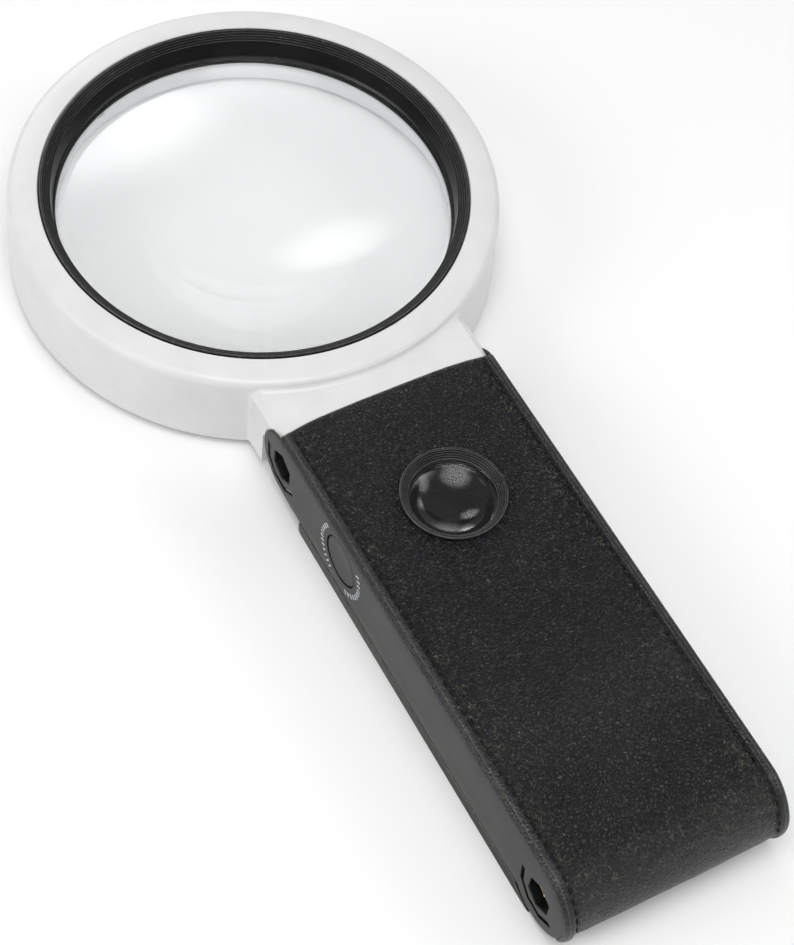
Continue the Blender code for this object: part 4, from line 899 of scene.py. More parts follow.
# ---- underside of the head ----
coverLook = dict(
    window=0.0563, hole=0.00125, sink=0.0019, sinkDepth=0.0010, ease=0.00025, groove=0.00035,
    ridges=6, flangeLow=0.0046, flangeHigh=0.0054,
)


def makeRearCover():
    look = coverLook
    low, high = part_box("head_rear_cover")
    inner = look["window"] + 0.0003
    middle = (inner + high.x) / 2.0 + 0.0012
    g = look["groove"]
    profile = [
        (high.x, high.z, 0.0002),
        (high.x, low.z, 0.0003),
        (middle + g * 2, low.z, 0.0001),
        (middle + g, low.z + g, 0.0001),
        (middle, low.z, 0.0001),
        (inner, low.z, 0.0004),
        (inner, high.z, 0.0002),
    ]
    cover = turned("rearCover", rounded(profile, look["ease"], 3), (0, lensY, 0), 192)
    tools = []
    for x, y in headScrewPlaces():
        tools.append(rod("holeTool", (x, y, 0.0), (x, y, 0.006), look["hole"], 32))
        tools.append(rod("sinkTool", (x, y, 0.0), (x, y, headLow.z + look["sinkDepth"]), look["sink"], 40))
    carve(cover, *tools)
    return settle(cover, "head", plastics["white"], ["head_rear_cover"])


def makeDiffuser():
    # the lamp ring's window, with fine concentric prisms on the side that shows
    low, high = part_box("light_diffuser")
    lip, edge, flange = lensRadius - 0.0015, coverLook["window"], high.x
    ridges, flangeLow, flangeHigh = (coverLook[key] for key in ("ridges", "flangeLow", "flangeHigh"))
    pitch = (edge - lip - 0.0006) / ridges
    window = []
    for i in range(ridges):
        r = edge - 0.0003 - pitch * i
        window += [(r, low.z + 0.00018, 0.00005), (r - pitch / 2.0, low.z, 0.00008)]
    profile = [
        (lip + 0.0006, high.z),
        (lip + 0.0006, flangeHigh),
        (flange, flangeHigh),
        (flange, flangeLow),
        (edge, flangeLow),
        (edge, low.z + 0.0002),
        *window,
        (lip, low.z + 0.0002),
        (lip, high.z),
    ]
    diffuser = turned("lampWindow", rounded(profile, 0.0001, 2), (0, lensY, 0), 192)
    return settle(diffuser, "head", plastics["milky"], ["light_diffuser"])


makeRearCover()
makeDiffuser()
print("underside of the head made")


# ---- side plates ----
def tailTrim(angle):
    # the tail draws in a little past its top; the angle is measured round the leg axis from the front
    return plateLook["tailTrim"] * smooth((angle - 90.0) / 60.0) * (1.0 - smooth((angle - 230.0) / 60.0))


def sideOutline(inset):
    # the ear round the tilt axis, the straight top under the leather's rolled edge, and the tail
    look = plateLook
    ear, tail, floor = look["ear"] - inset, tailRadius - look["drop"] - inset, plateFloor + inset
    top = math.degrees(math.asin((leatherTop - look["drop"] - inset - tiltZ) / ear))
    meet = math.degrees(math.asin((legZ - floor) / tail))
    toe = [(tiltY - 0.004, floor)]
    end = []
    for i in range(81):
        angle = 90.0 + (270.0 - meet) * i / 80.0
        radius, t = tail - tailTrim(angle), math.radians(angle)
        end.append((legY + radius * math.cos(t), legZ + radius * math.sin(t)))
    return toe + arc((tiltY, tiltZ), ear, -90.0, top, count=60) + end


def cGroove(centre):
    look = plateLook
    corners = [math.radians(15.0 - 40.0 * i) for i in range(5)]
    outer = look["groove"] + look["grooveWidth"] / 2.0
    inner = look["groove"] - look["grooveWidth"] / 2.0
    ring = [(outer, t) for t in corners] + [(inner, t) for t in reversed(corners)]
    return [(centre[0] + r * math.cos(t), centre[1] + r * math.sin(t)) for r, t in ring]


def hexCup(name, sign, centre, radius, floorX, mouthX, ease):
    # a six-sided pocket with its mouth eased outwards
    wide = radius + ease
    steps = ((floorX, radius), (mouthX - ease, radius), (mouthX, wide), (mouthX + 0.002, wide))
    return hexagons(name, centre, [(sign * x, r) for x, r in steps])


def makeSidePlate(side, sign):
    look = plateLook
    r = look["edge"]
    steps = [(plateInner, 0.0)]
    for k in range(6):
        t = math.radians(90.0 * k / 5.0)
        steps.append((plateOuter - r + r * math.sin(t), r * (1.0 - math.cos(t))))
    rings = [[(sign * x, y, z) for y, z in sideOutline(inset)] for x, inset in steps]
    piece = loft("sidePlate" + side, rings)
    pivots = ((tiltY, tiltZ), (legY, legZ))

    def crossRod(label, start, end, place, radius, segments):
        return rod(label, (sign * start, *place), (sign * end, *place), radius, segments)

    # the ear is thin where the neck turns behind it
    earInner = look["earInner"]
    carve(piece, crossRod("reliefTool", 0.027, earInner, pivots[0], look["relief"], 96))
    bosses = [
        crossRod("bossTool", look["bossEnd"], earInner + 0.0002, place, look["bossRadius"], 64)
        for place in pivots
    ]
    carve(piece, *bosses, operation="UNION")
    tools = []
    for place in pivots:
        pocket = (look["pocket"], look["pocketFloor"], plateOuter, look["pocketEase"])
        tools.append(hexCup("pocketTool", sign, place, *pocket))
        tools.append(crossRod("holeTool", 0.022, 0.027, place, look["hole"], 48))
        low, high = sorted((sign * (plateOuter - look["grooveDepth"]), sign * (plateOuter + 0.001)))
        tools.append(prism("grooveTool", cGroove(place), low, high))
    if sign < 0:
        hole = buttonRadius + look["buttonGap"]
        tools.append(crossRod("buttonTool", 0.027, 0.033, (smallY, buttonCentre.z), hole, 96))
    carve(piece, *tools)
    markRims(piece)
    greyThenBlack = [plastics["grey"], plastics["black"]]
    settle(piece, "handle", greyThenBlack, ["side_plate_" + side.lower()], sharp=28.0)
    # painted shade: the pockets and the grooves are painted black inside, where shade falls
    for face in piece.data.polygons:
        at = face.center
        away = min(math.hypot(at.y - y, at.z - z) for y, z in pivots)
        inPocket = away < look["pocket"] + 0.0001
        inGroove = abs(away - look["groove"]) < look["grooveWidth"] * 0.5 + 0.0001
        sunk = plateOuter - abs(at.x) > 0.0001
        if sunk and (inPocket or (inGroove and abs(at.x) > plateInner + 0.0003)):
            face.material_index = 1
    return piece


buttonRadius = 0.00675
makeSidePlate("Left", -1.0)
makeSidePlate("Right", 1.0)
print("side plates made")


# ---- power button and the printed marks round it ----
buttonLook = dict(dish=0.00018, edge=0.0004, depth=0.0023, flange=0.0006, stem=0.0020)


def makeButton():
    look = buttonLook
    low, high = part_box("power_button")
    face = -low.x
    inner = face - look["depth"]
    profile = [(0.0, face - look["dish"])]
    for k in range(1, 8):
        share = k / 8.0
        profile.append((buttonRadius * 0.86 * share, face - look["dish"] * (1.0 - share**2)))
    profile += [
        (buttonRadius * 0.88, face),
        (buttonRadius - look["edge"], face - 0.00005),
        (buttonRadius - look["edge"] * 0.3, face - 0.00015),
        (buttonRadius, face - look["edge"]),
        (buttonRadius, inner + 0.0002),
        (buttonRadius + look["flange"], inner),
        (buttonRadius + look["flange"], inner - 0.0006),
        (look["stem"], inner - 0.0006),
        (look["stem"], -high.x + 0.0002),
        (look["stem"] - 0.0002, -high.x),
        (0.0, -high.x),
    ]
    profile = [(r, -h) for r, h in profile]
    button = turned("powerButton", profile, (0, smallY, buttonCentre.z), 96, "X", closed=False)
    return settle(button, "power_button", plastics["grey"], ["power_button"])


makeButton()


def newTree(name, inputs):
    tree = bpy.data.node_groups.new(name, "GeometryNodeTree")
    tree.interface.new_socket("Geometry", in_out="INPUT", socket_type="NodeSocketGeometry")
    for label, kind, value in inputs:
        socket = tree.interface.new_socket(label, in_out="INPUT", socket_type=kind)
        if value is not None:
            socket.default_value = value
    tree.interface.new_socket("Geometry", in_out="OUTPUT", socket_type="NodeSocketGeometry")
    return tree, tree.nodes.new("NodeGroupInput"), tree.nodes.new("NodeGroupOutput")


def grow(obj, tree, **values):
    # runs a tree on an object with its inputs set by identifier, and keeps the result as a plain mesh
    modifier = obj.modifiers.new(tree.name, "NODES")
    modifier.node_group = tree
    for item in tree.interface.items_tree:
        key = item.name.replace(" ", "")
        key = key[0].lower() + key[1:]
        if item.in_out == "INPUT" and key in values:
            modifier[item.identifier] = values[key]
    return plain(obj)


def lineObject(name, points, cyclic=False):
    mesh = bpy.data.meshes.new(name)
    edges = [(i, i + 1) for i in range(len(points) - 1)]
    if cyclic:
        edges.append((len(points) - 1, 0))
    mesh.from_pydata([tuple(p) for p in points], edges, [])
    obj = bpy.data.objects.new(name, mesh)
    bpy.context.scene.collection.objects.link(obj)
    return obj


def joinPieces(name, parts):
    bm = bmesh.new()
    for part in parts:
        bm.from_mesh(part.data)
        bpy.data.objects.remove(part, do_unlink=True)
    return objectFromBmesh(name, bm)


def finishTree(tree, out, instances, material):
    real = node(tree, "GeometryNodeRealizeInstances", [("Geometry", instances)])
    settings = [("Geometry", real.outputs["Geometry"]), ("Material", material)]
    coated = node(tree, "GeometryNodeSetMaterial", settings)
    tree.links.new(coated.outputs["Geometry"], out.inputs["Geometry"])


def pathPoints(tree, inside, spacing):
    # places a set distance apart along the path that comes in
    path = node(tree, "GeometryNodeMeshToCurve", [("Mesh", inside.outputs["Geometry"])])
    settings = [("Curve", path.outputs["Curve"]), ("Length", inside.outputs[spacing])]
    return node(tree, "GeometryNodeResampleCurve", settings, mode="LENGTH").outputs["Curve"]


def alongPath(tree, **axes):
    # a rotation that follows the path
    tangent = tree.nodes.new("GeometryNodeInputTangent").outputs["Tangent"]
    return node(tree, "FunctionNodeAlignRotationToVector", [("Vector", tangent)], **axes).outputs["Rotation"]


def placeAt(tree, points, instance, rotation, *more):
    settings = [("Points", points), ("Instance", instance), ("Rotation", rotation), *more]
    return node(tree, "GeometryNodeInstanceOnPoints", settings).outputs["Instances"]


def makeTickTree():
    # short printed bars, evenly spaced along a path and pointing across it
    tree, inside, out = newTree(
        "Printed Ticks",
        [
            ("Spacing", "NodeSocketFloat", 0.001),
            ("Bar Length", "NodeSocketFloat", 0.0012),
            ("Bar Width", "NodeSocketFloat", 0.0003),
            ("Bar Height", "NodeSocketFloat", 0.0001),
            ("Ink", "NodeSocketMaterial", None),
        ],
    )
    spaced = pathPoints(tree, inside, "Spacing")
    high, wide, long_ = (inside.outputs["Bar " + label] for label in ("Height", "Width", "Length"))
    size = node(tree, "ShaderNodeCombineXYZ", [(0, high), (1, wide), (2, long_)])
    bar = node(tree, "GeometryNodeMeshCube", [("Size", size.outputs[0])])
    aimed = alongPath(tree, axis="Y", pivot_axis="X")
    finishTree(tree, out, placeAt(tree, spaced, bar.outputs["Mesh"], aimed), inside.outputs["Ink"])
    return tree


tickLook = dict(radius=0.0094, spacing=0.00145, length=0.0013, width=0.00044, height=0.00008)


def makeButtonMarks():
    look = tickLook
    tree = makeTickTree()
    x = -plateOuter - look["height"] * 0.2
    marks = []
    for start, end in ((-62.0, 38.0), (150.0, 246.0)):
        points = [(x, u, v) for u, v in arc((smallY, buttonCentre.z), look["radius"], start, end, 2.0)]
        row = lineObject("marksRow", points)
        grow(
            row, tree, spacing=look["spacing"], barLength=look["length"], barWidth=look["width"],
            barHeight=look["height"], ink=ink,
        )
        marks.append(row)
    joined = joinPieces("buttonMarks", marks)
    return settle(joined, "handle", ink)


makeButtonMarks()
print("button and marks made")


# ---- leather ----
leatherSizes = dict(
    pitch=0.0006, thickness=0.0008, crown=0.00045, tailInset=0.0013, wrapEnd=210.0, stitchAt=0.0273,
    grooveDepth=0.00010, grooveHalf=0.00036, bead=0.00010, crease=0.0291, shoulder=0.00122, wrinkle=0.00017,
    ripple=0.00007, holeRadius=0.0125, dimple=0.0003, bow=0.0013, lead=0.0010,
)


def wrapLine():
    # the line over the top and round the tail: position, outward direction and how far round the tail it is
    look = leatherSizes
    out = []
    count = round((leatherFront - legY) / look["pitch"])
    for i in range(count):
        out.append((leatherFront - (leatherFront - legY) * i / count, leatherTop, 0.0, 1.0, 0.0))
    sweep = look["wrapEnd"] - 90.0
    turns = round(math.radians(sweep) * tailRadius / look["pitch"])
    for i in range(turns + 1):
        t = math.radians(90.0 + sweep * i / turns)
        c, s = math.cos(t), math.sin(t)
        out.append((legY + tailRadius * c, legZ + tailRadius * s, c, s, i / turns))
    return out


def leatherColumns():
    # positions across the cover, closer together towards the stitches and the rolled edge
    half = []
    x = 0.0
    while x < plateOuter - 0.00005:
        half.append(x)
        x += 0.0006 if x < 0.0258 else 0.0002 if x < 0.0284 else 0.0001
    half.append(plateOuter)
    return [-x for x in reversed(half[1:])] + half


def leatherRise(x, along, round_, y):
    # how far the surface stands above its base line here, and how rubbed, how smooth and how creased it is;
    # the rubbed mark also carries a painted sheen along the tail bend and the creased mark a painted
    # highlight
    look = leatherSizes
    side = abs(x)
    sunk = math.sin(math.radians(min(round_ * 120.0, 90.0))) ** 2
    ridge = smooth((side - 0.0264) / 0.0022)
    rise = -sunk * look["tailInset"] * (1.0 - ridge) - tailTrim(90.0 + round_ * 120.0) * ridge
    rise += look["crown"] * (1.0 - (min(side, 0.0270) / 0.0270) ** 4) * (0.35 + 0.65 * smooth(1.0 - round_))
    onTail = smooth(round_ * 3.0) * smooth((1.0 - round_) * 3.0)
    rise += look["crown"] * 0.8 * onTail * (1.0 - smooth(side / 0.0270) ** 2)
    rise -= look["grooveDepth"] * math.exp(-(((side - look["stitchAt"]) / look["grooveHalf"]) ** 2))
    border = smooth((side - look["stitchAt"] - 0.0002) / 0.0003)
    across = (side - 0.0283) / 0.0008
    rise += look["bead"] * border * max(0.0, 1.0 - across * across)
    folded = math.exp(-(((side - look["crease"]) / 0.00012) ** 2))
    rise -= 0.00006 * folded
    over = max(0.0, min(1.0, (side - look["crease"]) / (plateOuter - look["crease"])))
    rise -= look["shoulder"] * (1.0 - math.sqrt(1.0 - over * over))
    fade = smooth((side - 0.0205) / 0.0055) * (1.0 - border)
    bend = smooth(1.0 - abs(round_ - 0.22) / 0.34) * (1.0 - border)
    loose = 1.0 - smooth((side - 0.0262) / 0.0008)
    seed = noise.noise(Vector((x * 420.0, along * 330.0, 3.1)))
    cross = noise.noise(Vector((x * 160.0, along * 900.0, 7.7)))
    rise += look["wrinkle"] * fade * loose * (seed + 0.7 * cross)
    rise += look["wrinkle"] * 1.1 * bend * loose * noise.noise(Vector((x * 240.0, along * 700.0, 1.9)))
    rise += look["ripple"] * loose * noise.noise(Vector((x * 130.0, along * 130.0, 5.5)))
    rise += look["ripple"] * 0.6 * loose * noise.noise(Vector((x * 520.0, along * 520.0, 8.5)))
    away = math.hypot(x, y - smallY) if round_ <= 0.0 else 1.0
    rise -= look["dimple"] * smooth(1.0 - (away - 0.0132) / 0.0024)
    front = smooth(1.0 - along / 0.0012)
    rise -= 0.0004 * front * front * (1.0 - over)
    rubbed = max(fade * loose, bend * 0.8, 0.35 * front)
    creased = max(0.7 * folded, smooth(1.0 - along / 0.0005) * (1.0 - over))
    return rise, rubbed, border, creased


def leatherUnder(x, round_):
    # the hidden side lies on the panel in the middle and on the side plates at the edges
    look = leatherSizes
    sunk = math.sin(math.radians(min(round_ * 120.0, 90.0))) ** 2
    if abs(x) > 0.0283:
        return look["shoulder"] + tailTrim(90.0 + round_ * 120.0) + 0.00001
    return look["thickness"] + look["tailInset"] * sunk


def makeLeatherCover():
    look = leatherSizes
    line, columns = wrapLine(), leatherColumns()
    bm = bmesh.new()
    layers = [bm.verts.layers.float.new(label) for label in ("rubbed", "border", "creased")]
    upper, lower = [], []
    length = 0.0
    previous = line[0]
    for y, z, ny, nz, round_ in line:
        length += math.hypot(y - previous[0], z - previous[1])
        previous = (y, z)
        for x in columns:
            rise, *marks = leatherRise(x, length, round_, y)
            bowed = y + (look["lead"] - look["bow"] * (abs(x) / 0.030) ** 4) * smooth(1.0 - length / 0.008)
            top = bm.verts.new((x, bowed + ny * rise, z + nz * rise))
            for layer, mark in zip(layers, marks):
                top[layer] = mark
            under = leatherUnder(x, round_)
            low = bm.verts.new((x, bowed - ny * under, z - nz * under))
            low[layers[1]] = 1.0
            upper.append(top)
            lower.append(low)
    wide, rows = len(columns), len(line)
    for r in range(rows - 1):
        for c in range(wide - 1):
            a = r * wide + c
            corners = (a, a + 1, a + wide + 1, a + wide)
            bm.faces.new([upper[i] for i in corners])
            bm.faces.new([lower[i] for i in reversed(corners)])
        for c in (0, wide - 1):
            a, b = r * wide + c, (r + 1) * wide + c
            bm.faces.new([upper[a], upper[b], lower[b], lower[a]])
    for c in range(wide - 1):
        for r in (0, rows - 1):
            a, b = r * wide + c, r * wide + c + 1
            bm.faces.new([upper[a], upper[b], lower[b], lower[a]])
    bmesh.ops.recalc_face_normals(bm, faces=bm.faces)
    cover = objectFromBmesh("leatherCover", bm)
    carve(cover, rod("lensTool", (0, smallY, 0.0), (0, smallY, 0.04), look["holeRadius"], 96))
    settle(cover, "handle", leather, ["leather_cover"], sharp=50.0)
    middle = [(x, leatherRise(x, 0.05, 0.0, leatherFront - 0.05)[0]) for x in columns]
    return cover


makeLeatherCover()


def makeStitchTree():
    # short waxed stitches that lie along a path, each sunk at both ends
    tree, inside, out = newTree(
        "Stitch Row",
        [
            ("Pitch", "NodeSocketFloat", 0.0026),
            ("Stitch Length", "NodeSocketFloat", 0.0018),
            ("Thread", "NodeSocketFloat", 0.0004),
            ("Material", "NodeSocketMaterial", None),
        ],
    )
    spaced = pathPoints(tree, inside, "Pitch")
    ball = node(tree, "GeometryNodeMeshUVSphere", [("Segments", 8), ("Rings", 6), ("Radius", 0.5)])
    wide, long_ = inside.outputs["Thread"], inside.outputs["Stitch Length"]
    size = node(tree, "ShaderNodeCombineXYZ", [(0, wide), (1, wide), (2, long_)])
    scale = ("Scale", size.outputs[0])
    placed = placeAt(tree, spaced, ball.outputs["Mesh"], alongPath(tree, axis="Z"), scale)
    finishTree(tree, out, placed, inside.outputs["Material"])
    return tree


stitchLook = dict(pitch=0.00282, length=0.0016, thread=0.00060, sink=0.00018, start=0.0035, end=0.72)


def makeStitches():
    look = stitchLook
    tree = makeStitchTree()
    rows = []
    for sign in (-1.0, 1.0):
        points = []
        length = 0.0
        previous = None
        for y, z, ny, nz, round_ in wrapLine():
            if previous:
                length += math.hypot(y - previous[0], z - previous[1])
            previous = (y, z)
            if length < look["start"] or round_ > look["end"]:
                continue
            x = sign * leatherSizes["stitchAt"]
            rise = leatherRise(x, length, round_, y)[0] - look["sink"] + look["thread"] / 2.0
            points.append((x, y + ny * rise, z + nz * rise))
        row = lineObject("stitchRow", points)
        grow(
            row, tree, pitch=look["pitch"], stitchLength=look["length"], thread=look["thread"],
            material=thread,
        )
        rows.append(row)
    return settle(joinPieces("stitches", rows), "handle", thread)


makeStitches()
print("leather and stitches made")


# ---- small lens, its stepped bezel and its tube ----
bezelLook = dict(segments=128, lip=0.0008, steps=4, drop=0.0005, sight=0.0109, tube=0.0122, ease=0.00015)


def makeBezel():
    look = bezelLook
    low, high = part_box("small_lens_bezel")
    outer, top = high.x, high.z
    lip = outer - look["lip"]
    stepIn = (lip - look["sight"] - 0.0002) / look["steps"]
    inside = [(lip, top, 0.0002)]
    for i in range(look["steps"]):
        level = top - look["drop"] * (i + 1)
        inside.append((lip - stepIn * i, level, 0.0001))
        inside.append((lip - stepIn * (i + 1), level, look["ease"]))
    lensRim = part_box("small_lens")[1]
    rimTop = lensRim.z - smallLensLook["bulge"] + 0.0003
    skirt = lensRim.x + 0.0003
    profile = [
        (outer, top, 0.0004),
        (outer, leatherTop - 0.0002, 0.0002),
        (look["tube"], leatherTop - 0.0002, 0.0001),
        (look["tube"], low.z, 0.0002),
        (skirt, low.z, 0.0001),
        (skirt, rimTop, 0.0),
        (look["sight"], rimTop, 0.0001),
        *reversed(inside),
    ]
    bezel = turned("smallBezel", rounded(profile, look["ease"], 3), (0, smallY, 0), look["segments"])
    markRims(bezel, 15.0, 0.0003)
    return settle(bezel, "handle", plastics["black"], ["small_lens_bezel"])


def makeTube():
    low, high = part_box("small_lens_tube")
    inner = bezelLook["sight"] - 0.0006
    wide, skirt = bezelLook["tube"], high.x - 0.0008
    ribs = []
    count = 9
    pitch = (high.z - low.z - 0.001) / count
    for i in range(count):
        z = low.z + 0.0005 + pitch * i
        ribs += [(inner, z, 0.0001), (inner + 0.0003, z + pitch * 0.5, 0.0001)]
    profile = [
        (skirt, high.z),
        (skirt, high.z - 0.003),
        (wide, high.z - 0.0032),
        (wide, low.z),
        (inner, low.z),
        *ribs,
        (inner, high.z),
    ]
    tube = turned("smallTube", rounded(profile, 0.0001, 1), (0, smallY, 0), 96)
    return settle(tube, "handle", plastics["black"], ["small_lens_tube"])


makeBezel()
makeTube()
makeLens("smallLens", "small_lens", smallLensLook, smallGlass, "handle")
print("small lens made")


# ---- brass bolts and nuts at the two pivots ----
boltLook = dict(
    hexRadius=0.0042, chamfer=0.0005, shank=0.0024, thread=0.00045, threadPitch=0.0008,
    cup=0.0038, cupDepth=0.0028,
)


def hexPrism(name, low, high, centre, radius, chamfer):
    slim, run = radius - chamfer, chamfer * 0.6
    return hexagons(name, centre, [(low, slim), (low + run, radius), (high - run, radius), (high, slim)])


def threadedCup(name, low, high, y, z):
    look = boltLook
    rim = []
    x = low
    while x < high:
        rim += [(look["cup"], x), (look["cup"] - look["thread"], x + look["threadPitch"] / 2.0)]
        x += look["threadPitch"]
    profile = [(0.0, low), *rim, (look["cup"], high), (0.0, high)]
    return turned(name, profile, (0, y, z), 64, "X", closed=False)


def paintShadeBlack(obj, y, z, end):
    # painted shade: the hexagonal outside and the stud's end are painted black so the pocket reads dark; the
    # threads are bare brass
    for face in obj.data.polygons:
        at = face.center
        if math.hypot(at.y - y, at.z - z) > boltLook["cup"] + 0.0001 or at.x < end + 0.0001:
            face.material_index = 1


def makePivot(name, y, z):
    look = boltLook
    low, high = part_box(name + "_bolt")
    nutLow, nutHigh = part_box(name + "_nut")
    headDepth = nutHigh.x - nutLow.x
    bolt = hexPrism(name + "Bolt", high.x - headDepth, high.x, (y, z), look["hexRadius"], look["chamfer"])
    rim = []
    x = low.x
    while x < low.x + 0.0035:
        rim += [(look["shank"] - 0.0003, x), (look["shank"], x + look["threadPitch"] / 2.0)]
        x += look["threadPitch"]
    shankEnd = high.x - headDepth + 0.001
    profile = [(0.0, low.x), *rim, (look["shank"], shankEnd), (0.0, shankEnd)]
    shank = turned("shankTool", profile, (0, y, z), 48, "X", closed=False)
    carve(bolt, shank, operation="UNION")
    carve(bolt, threadedCup("cupTool", high.x - look["cupDepth"], high.x + 0.001, y, z))
    settle(bolt, "handle", [metals["brass"], plastics["black"]], [name + "_bolt"])
    paintShadeBlack(bolt, y, z, low.x)
    nut = hexPrism(name + "Nut", nutLow.x, nutHigh.x, (y, z), look["hexRadius"], look["chamfer"])
    cup = threadedCup("cupTool", nutLow.x - 0.001, nutLow.x + look["cupDepth"], y, z)
    bore = look["shank"] + 0.0002
    carve(nut, cup, rod("boreTool", (nutLow.x - 0.001, y, z), (nutHigh.x + 0.001, y, z), bore, 48))
    settle(nut, "handle", [metals["brass"], plastics["black"]], [name + "_nut"])
    paintShadeBlack(nut, y, z, nutLow.x)


makePivot("tilt", tiltY, tiltZ)
makePivot("leg", legY, legZ)
print("pivots made")


# ---- screws ----
def screwShape(reach):
    # a pan-headed screw with a cross recess, its head at the origin and facing down
    profile = [
        (0.0, reach), (0.0006, reach), (0.0009, reach - 0.0009), (0.0009, 0.0008), (0.0016, 0.0007),
        (0.0016, 0.00025), (0.0013, 0.00005), (0.0009, 0.0), (0.0, 0.0),
    ]
    screw = turned("screwShape", profile, (0, 0, 0), 24, closed=False)
    arm, width = 0.0010, 0.00016
    carve(screw, block("slotA", (-arm, -width, -0.001), (arm, width, 0.00045)))
    carve(screw, block("slotB", (-width, -arm, -0.001), (width, arm, 0.00045)))
    return screw


def makeScrewTree():
    tree, inside, out = newTree(
        "Screw Set",
        [
            ("Screw", "NodeSocketObject", None),
            ("Size", "NodeSocketFloat", 1.0),
            ("Material", "NodeSocketMaterial", None),
        ],
    )
    shape = node(tree, "GeometryNodeObjectInfo", [("Object", inside.outputs["Screw"])])
    points = node(tree, "GeometryNodeMeshToPoints", [("Mesh", inside.outputs["Geometry"])])
    number = tree.nodes.new("GeometryNodeInputIndex")
    spin = node(tree, "ShaderNodeCombineXYZ", [(2, math2(tree, "MULTIPLY", number.outputs[0], 1.3))])
    scale = ("Scale", inside.outputs["Size"])
    placed = placeAt(tree, points.outputs["Points"], shape.outputs["Geometry"], spin.outputs[0], scale)
    finishTree(tree, out, placed, inside.outputs["Material"])
    return tree


def makeScrews():
    tree = makeScrewTree()
    sets = (
        ("headScrews", "head", ["head_screw_%d" % i for i in range(1, 5)]),
        ("housingScrews", "handle", ["housing_screw_%d" % i for i in range(1, 5)]),
        ("doorScrew", "handle", ["battery_door_screw"]),
    )
    for name, body, nodes_ in sets:
        low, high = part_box(nodes_[0])
        size = (high.x - low.x) / 0.0032
        shape = screwShape((high.z - low.z) / size)
        places = []
        for source in nodes_:
            centre = middleOf(source)
            places.append((centre.x, centre.y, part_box(source)[0].z))
        mesh = bpy.data.meshes.new(name)
        mesh.from_pydata(places, [], [])
        obj = bpy.data.objects.new(name, mesh)
        bpy.context.scene.collection.objects.link(obj)
        grow(obj, tree, screw=shape, size=size, material=metals["steel"])
        bpy.data.objects.remove(shape, do_unlink=True)
        settle(obj, body, metals["steel"], nodes_)


makeScrews()
print("screws made")


# ---- stand leg, housing, door and panel ----
def makeRefined(source, name, body, material, ease):
    piece = copyOfNode(source, name)
    easeEdges(piece, ease, 40.0, 2)
    markRims(piece, 15.0, 0.0004)
    return settle(piece, body, material, [source], sharp=30.0)


makeRefined("stand_leg", "standLeg", "stand_leg", plastics["grey"], 0.00025)
makeRefined("handle_housing", "handleHousing", "handle", plastics["black"], 0.00015)
makeRefined("battery_door", "batteryDoor", "handle", plastics["black"], 0.0002)
makeRefined("handle_top_panel", "topPanel", "handle", plastics["black"], 0.0001)
print("leg, housing, door and panel made")

# the frame's own shapes that stay: the first start that fits a name gives its material
keptNodes = {
    "battery_contact_": metals["steel"],
    "battery_spring_": metals["steel"],
    "tact_switch": metals["steel"],
    "battery_": plastics["sleeve"],
    "control_board": plastics["board"],
    "led_board": plastics["board"],
    "led_": plastics["lamp"],
    "lead_": plastics["lead"],
    "tilt_washer_": plastics["nylon"],
    "leg_washer_": plastics["nylon"],
}
replacedNodes = ("battery_door", "battery_door_screw")
for name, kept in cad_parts.items():
    start = next((start for start in keptNodes if name.startswith(start)), None)
    if start and name not in replacedNodes:
        kept.data.materials.clear()
        kept.data.materials.append(keptNodes[start])
print("materials put on the kept shapes")


# ---- floor, lights and camera ----
def makeFloor():
    half = 6.0
    corners = [(-half, -half, 0), (half, -half, 0), (half, half, 0), (-half, half, 0)]
    floor = objectFromFaces("floor", corners, [(0, 1, 2, 3)])
    floor.location.z = cadLow.z - 0.0001
    material, tree, shader, where = newMaterial("Pale Floor", Roughness=0.9, Specular_IOR_Level=0.1)
    shade = noiseAt(tree, where, 2.0, 2.0)["Fac"]
    colour = mixColour(tree, shade, (0.90, 0.90, 0.90), (0.92, 0.92, 0.92))
    tree.links.new(colour, shader.inputs["Base Color"])
    floor.data.materials.append(material)


lights = {
    "overheadSoftbox": dict(at=(-0.16, -0.30, 1.10), size=1.3, power=26.5),
    "leftSoftbox": dict(at=(-1.10, 0.10, 0.70), size=1.1, power=15.5),
    "rightSoftbox": dict(at=(1.00, -0.50, 0.80), size=1.0, power=10.5),
    "farSoftbox": dict(at=(0.15, 1.30, 0.70), size=1.0, power=12.5),
}


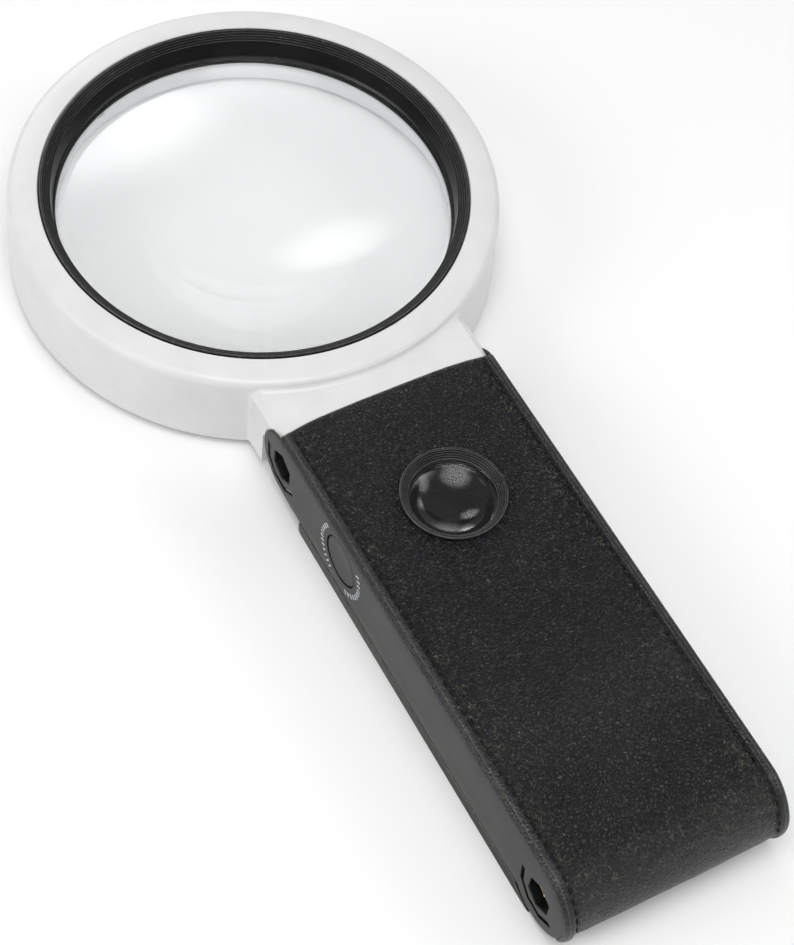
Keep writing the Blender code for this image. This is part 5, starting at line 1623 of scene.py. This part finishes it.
def softenLight(data):
    # full in the middle and fading to nothing at the rim, as a cloth softbox does
    data.use_nodes = True
    tree = data.node_tree
    place = tree.nodes.new("ShaderNodeNewGeometry").outputs["Parametric"]
    away = node(tree, "ShaderNodeVectorMath", [(0, place), (1, (0.5, 0.5, 0.0))], operation="DISTANCE")
    span = [("From Min", 0.12), ("From Max", 0.5), ("To Min", 1.0), ("To Max", 0.0)]
    settings = [("Value", away.outputs["Value"]), *span]
    fade = node(tree, "ShaderNodeMapRange", settings, interpolation_type="SMOOTHERSTEP")
    tree.links.new(fade.outputs["Result"], tree.nodes["Emission"].inputs["Strength"])


def makeLights():
    for name, look in lights.items():
        data = bpy.data.lights.new(name, "AREA")
        data.shape = "SQUARE"
        data.size = look["size"]
        data.energy = look["power"]
        softenLight(data)
        obj = bpy.data.objects.new(name, data)
        obj.location = look["at"]
        obj.rotation_euler = (-Vector(look["at"])).to_track_quat("-Z", "Y").to_euler()
        bpy.context.scene.collection.objects.link(obj)
    world = bpy.data.worlds.new("studio")
    bpy.context.scene.world = world
    world.use_nodes = True
    background = world.node_tree.nodes["Background"]
    background.inputs["Color"].default_value = (1.0, 1.0, 1.0, 1.0)
    background.inputs["Strength"].default_value = 0.28


cameraLook = dict(
    lens=90.39, sensor=36.0, at=(-0.198836, -0.286822, 0.504253), heading=-35.43, downward=55.689, roll=8.308
)


def makeCamera():
    look = cameraLook
    data = bpy.data.cameras.new("camera")
    data.lens = look["lens"]
    data.sensor_width = look["sensor"]
    data.clip_start, data.clip_end = 0.01, 20.0
    camera = bpy.data.objects.new("camera", data)
    steps = ((look["heading"], "Z"), (90.0 - look["downward"], "X"), (look["roll"], "Z"))
    heading, pitch, roll = (Matrix.Rotation(math.radians(angle), 4, axis) for angle, axis in steps)
    camera.matrix_world = Matrix.Translation(look["at"]) @ heading @ pitch @ roll
    bpy.context.scene.collection.objects.link(camera)
    bpy.context.scene.camera = camera


makeFloor()
makeLights()
makeCamera()
bpy.context.scene.view_settings.view_transform = "Standard"

print("stage set")
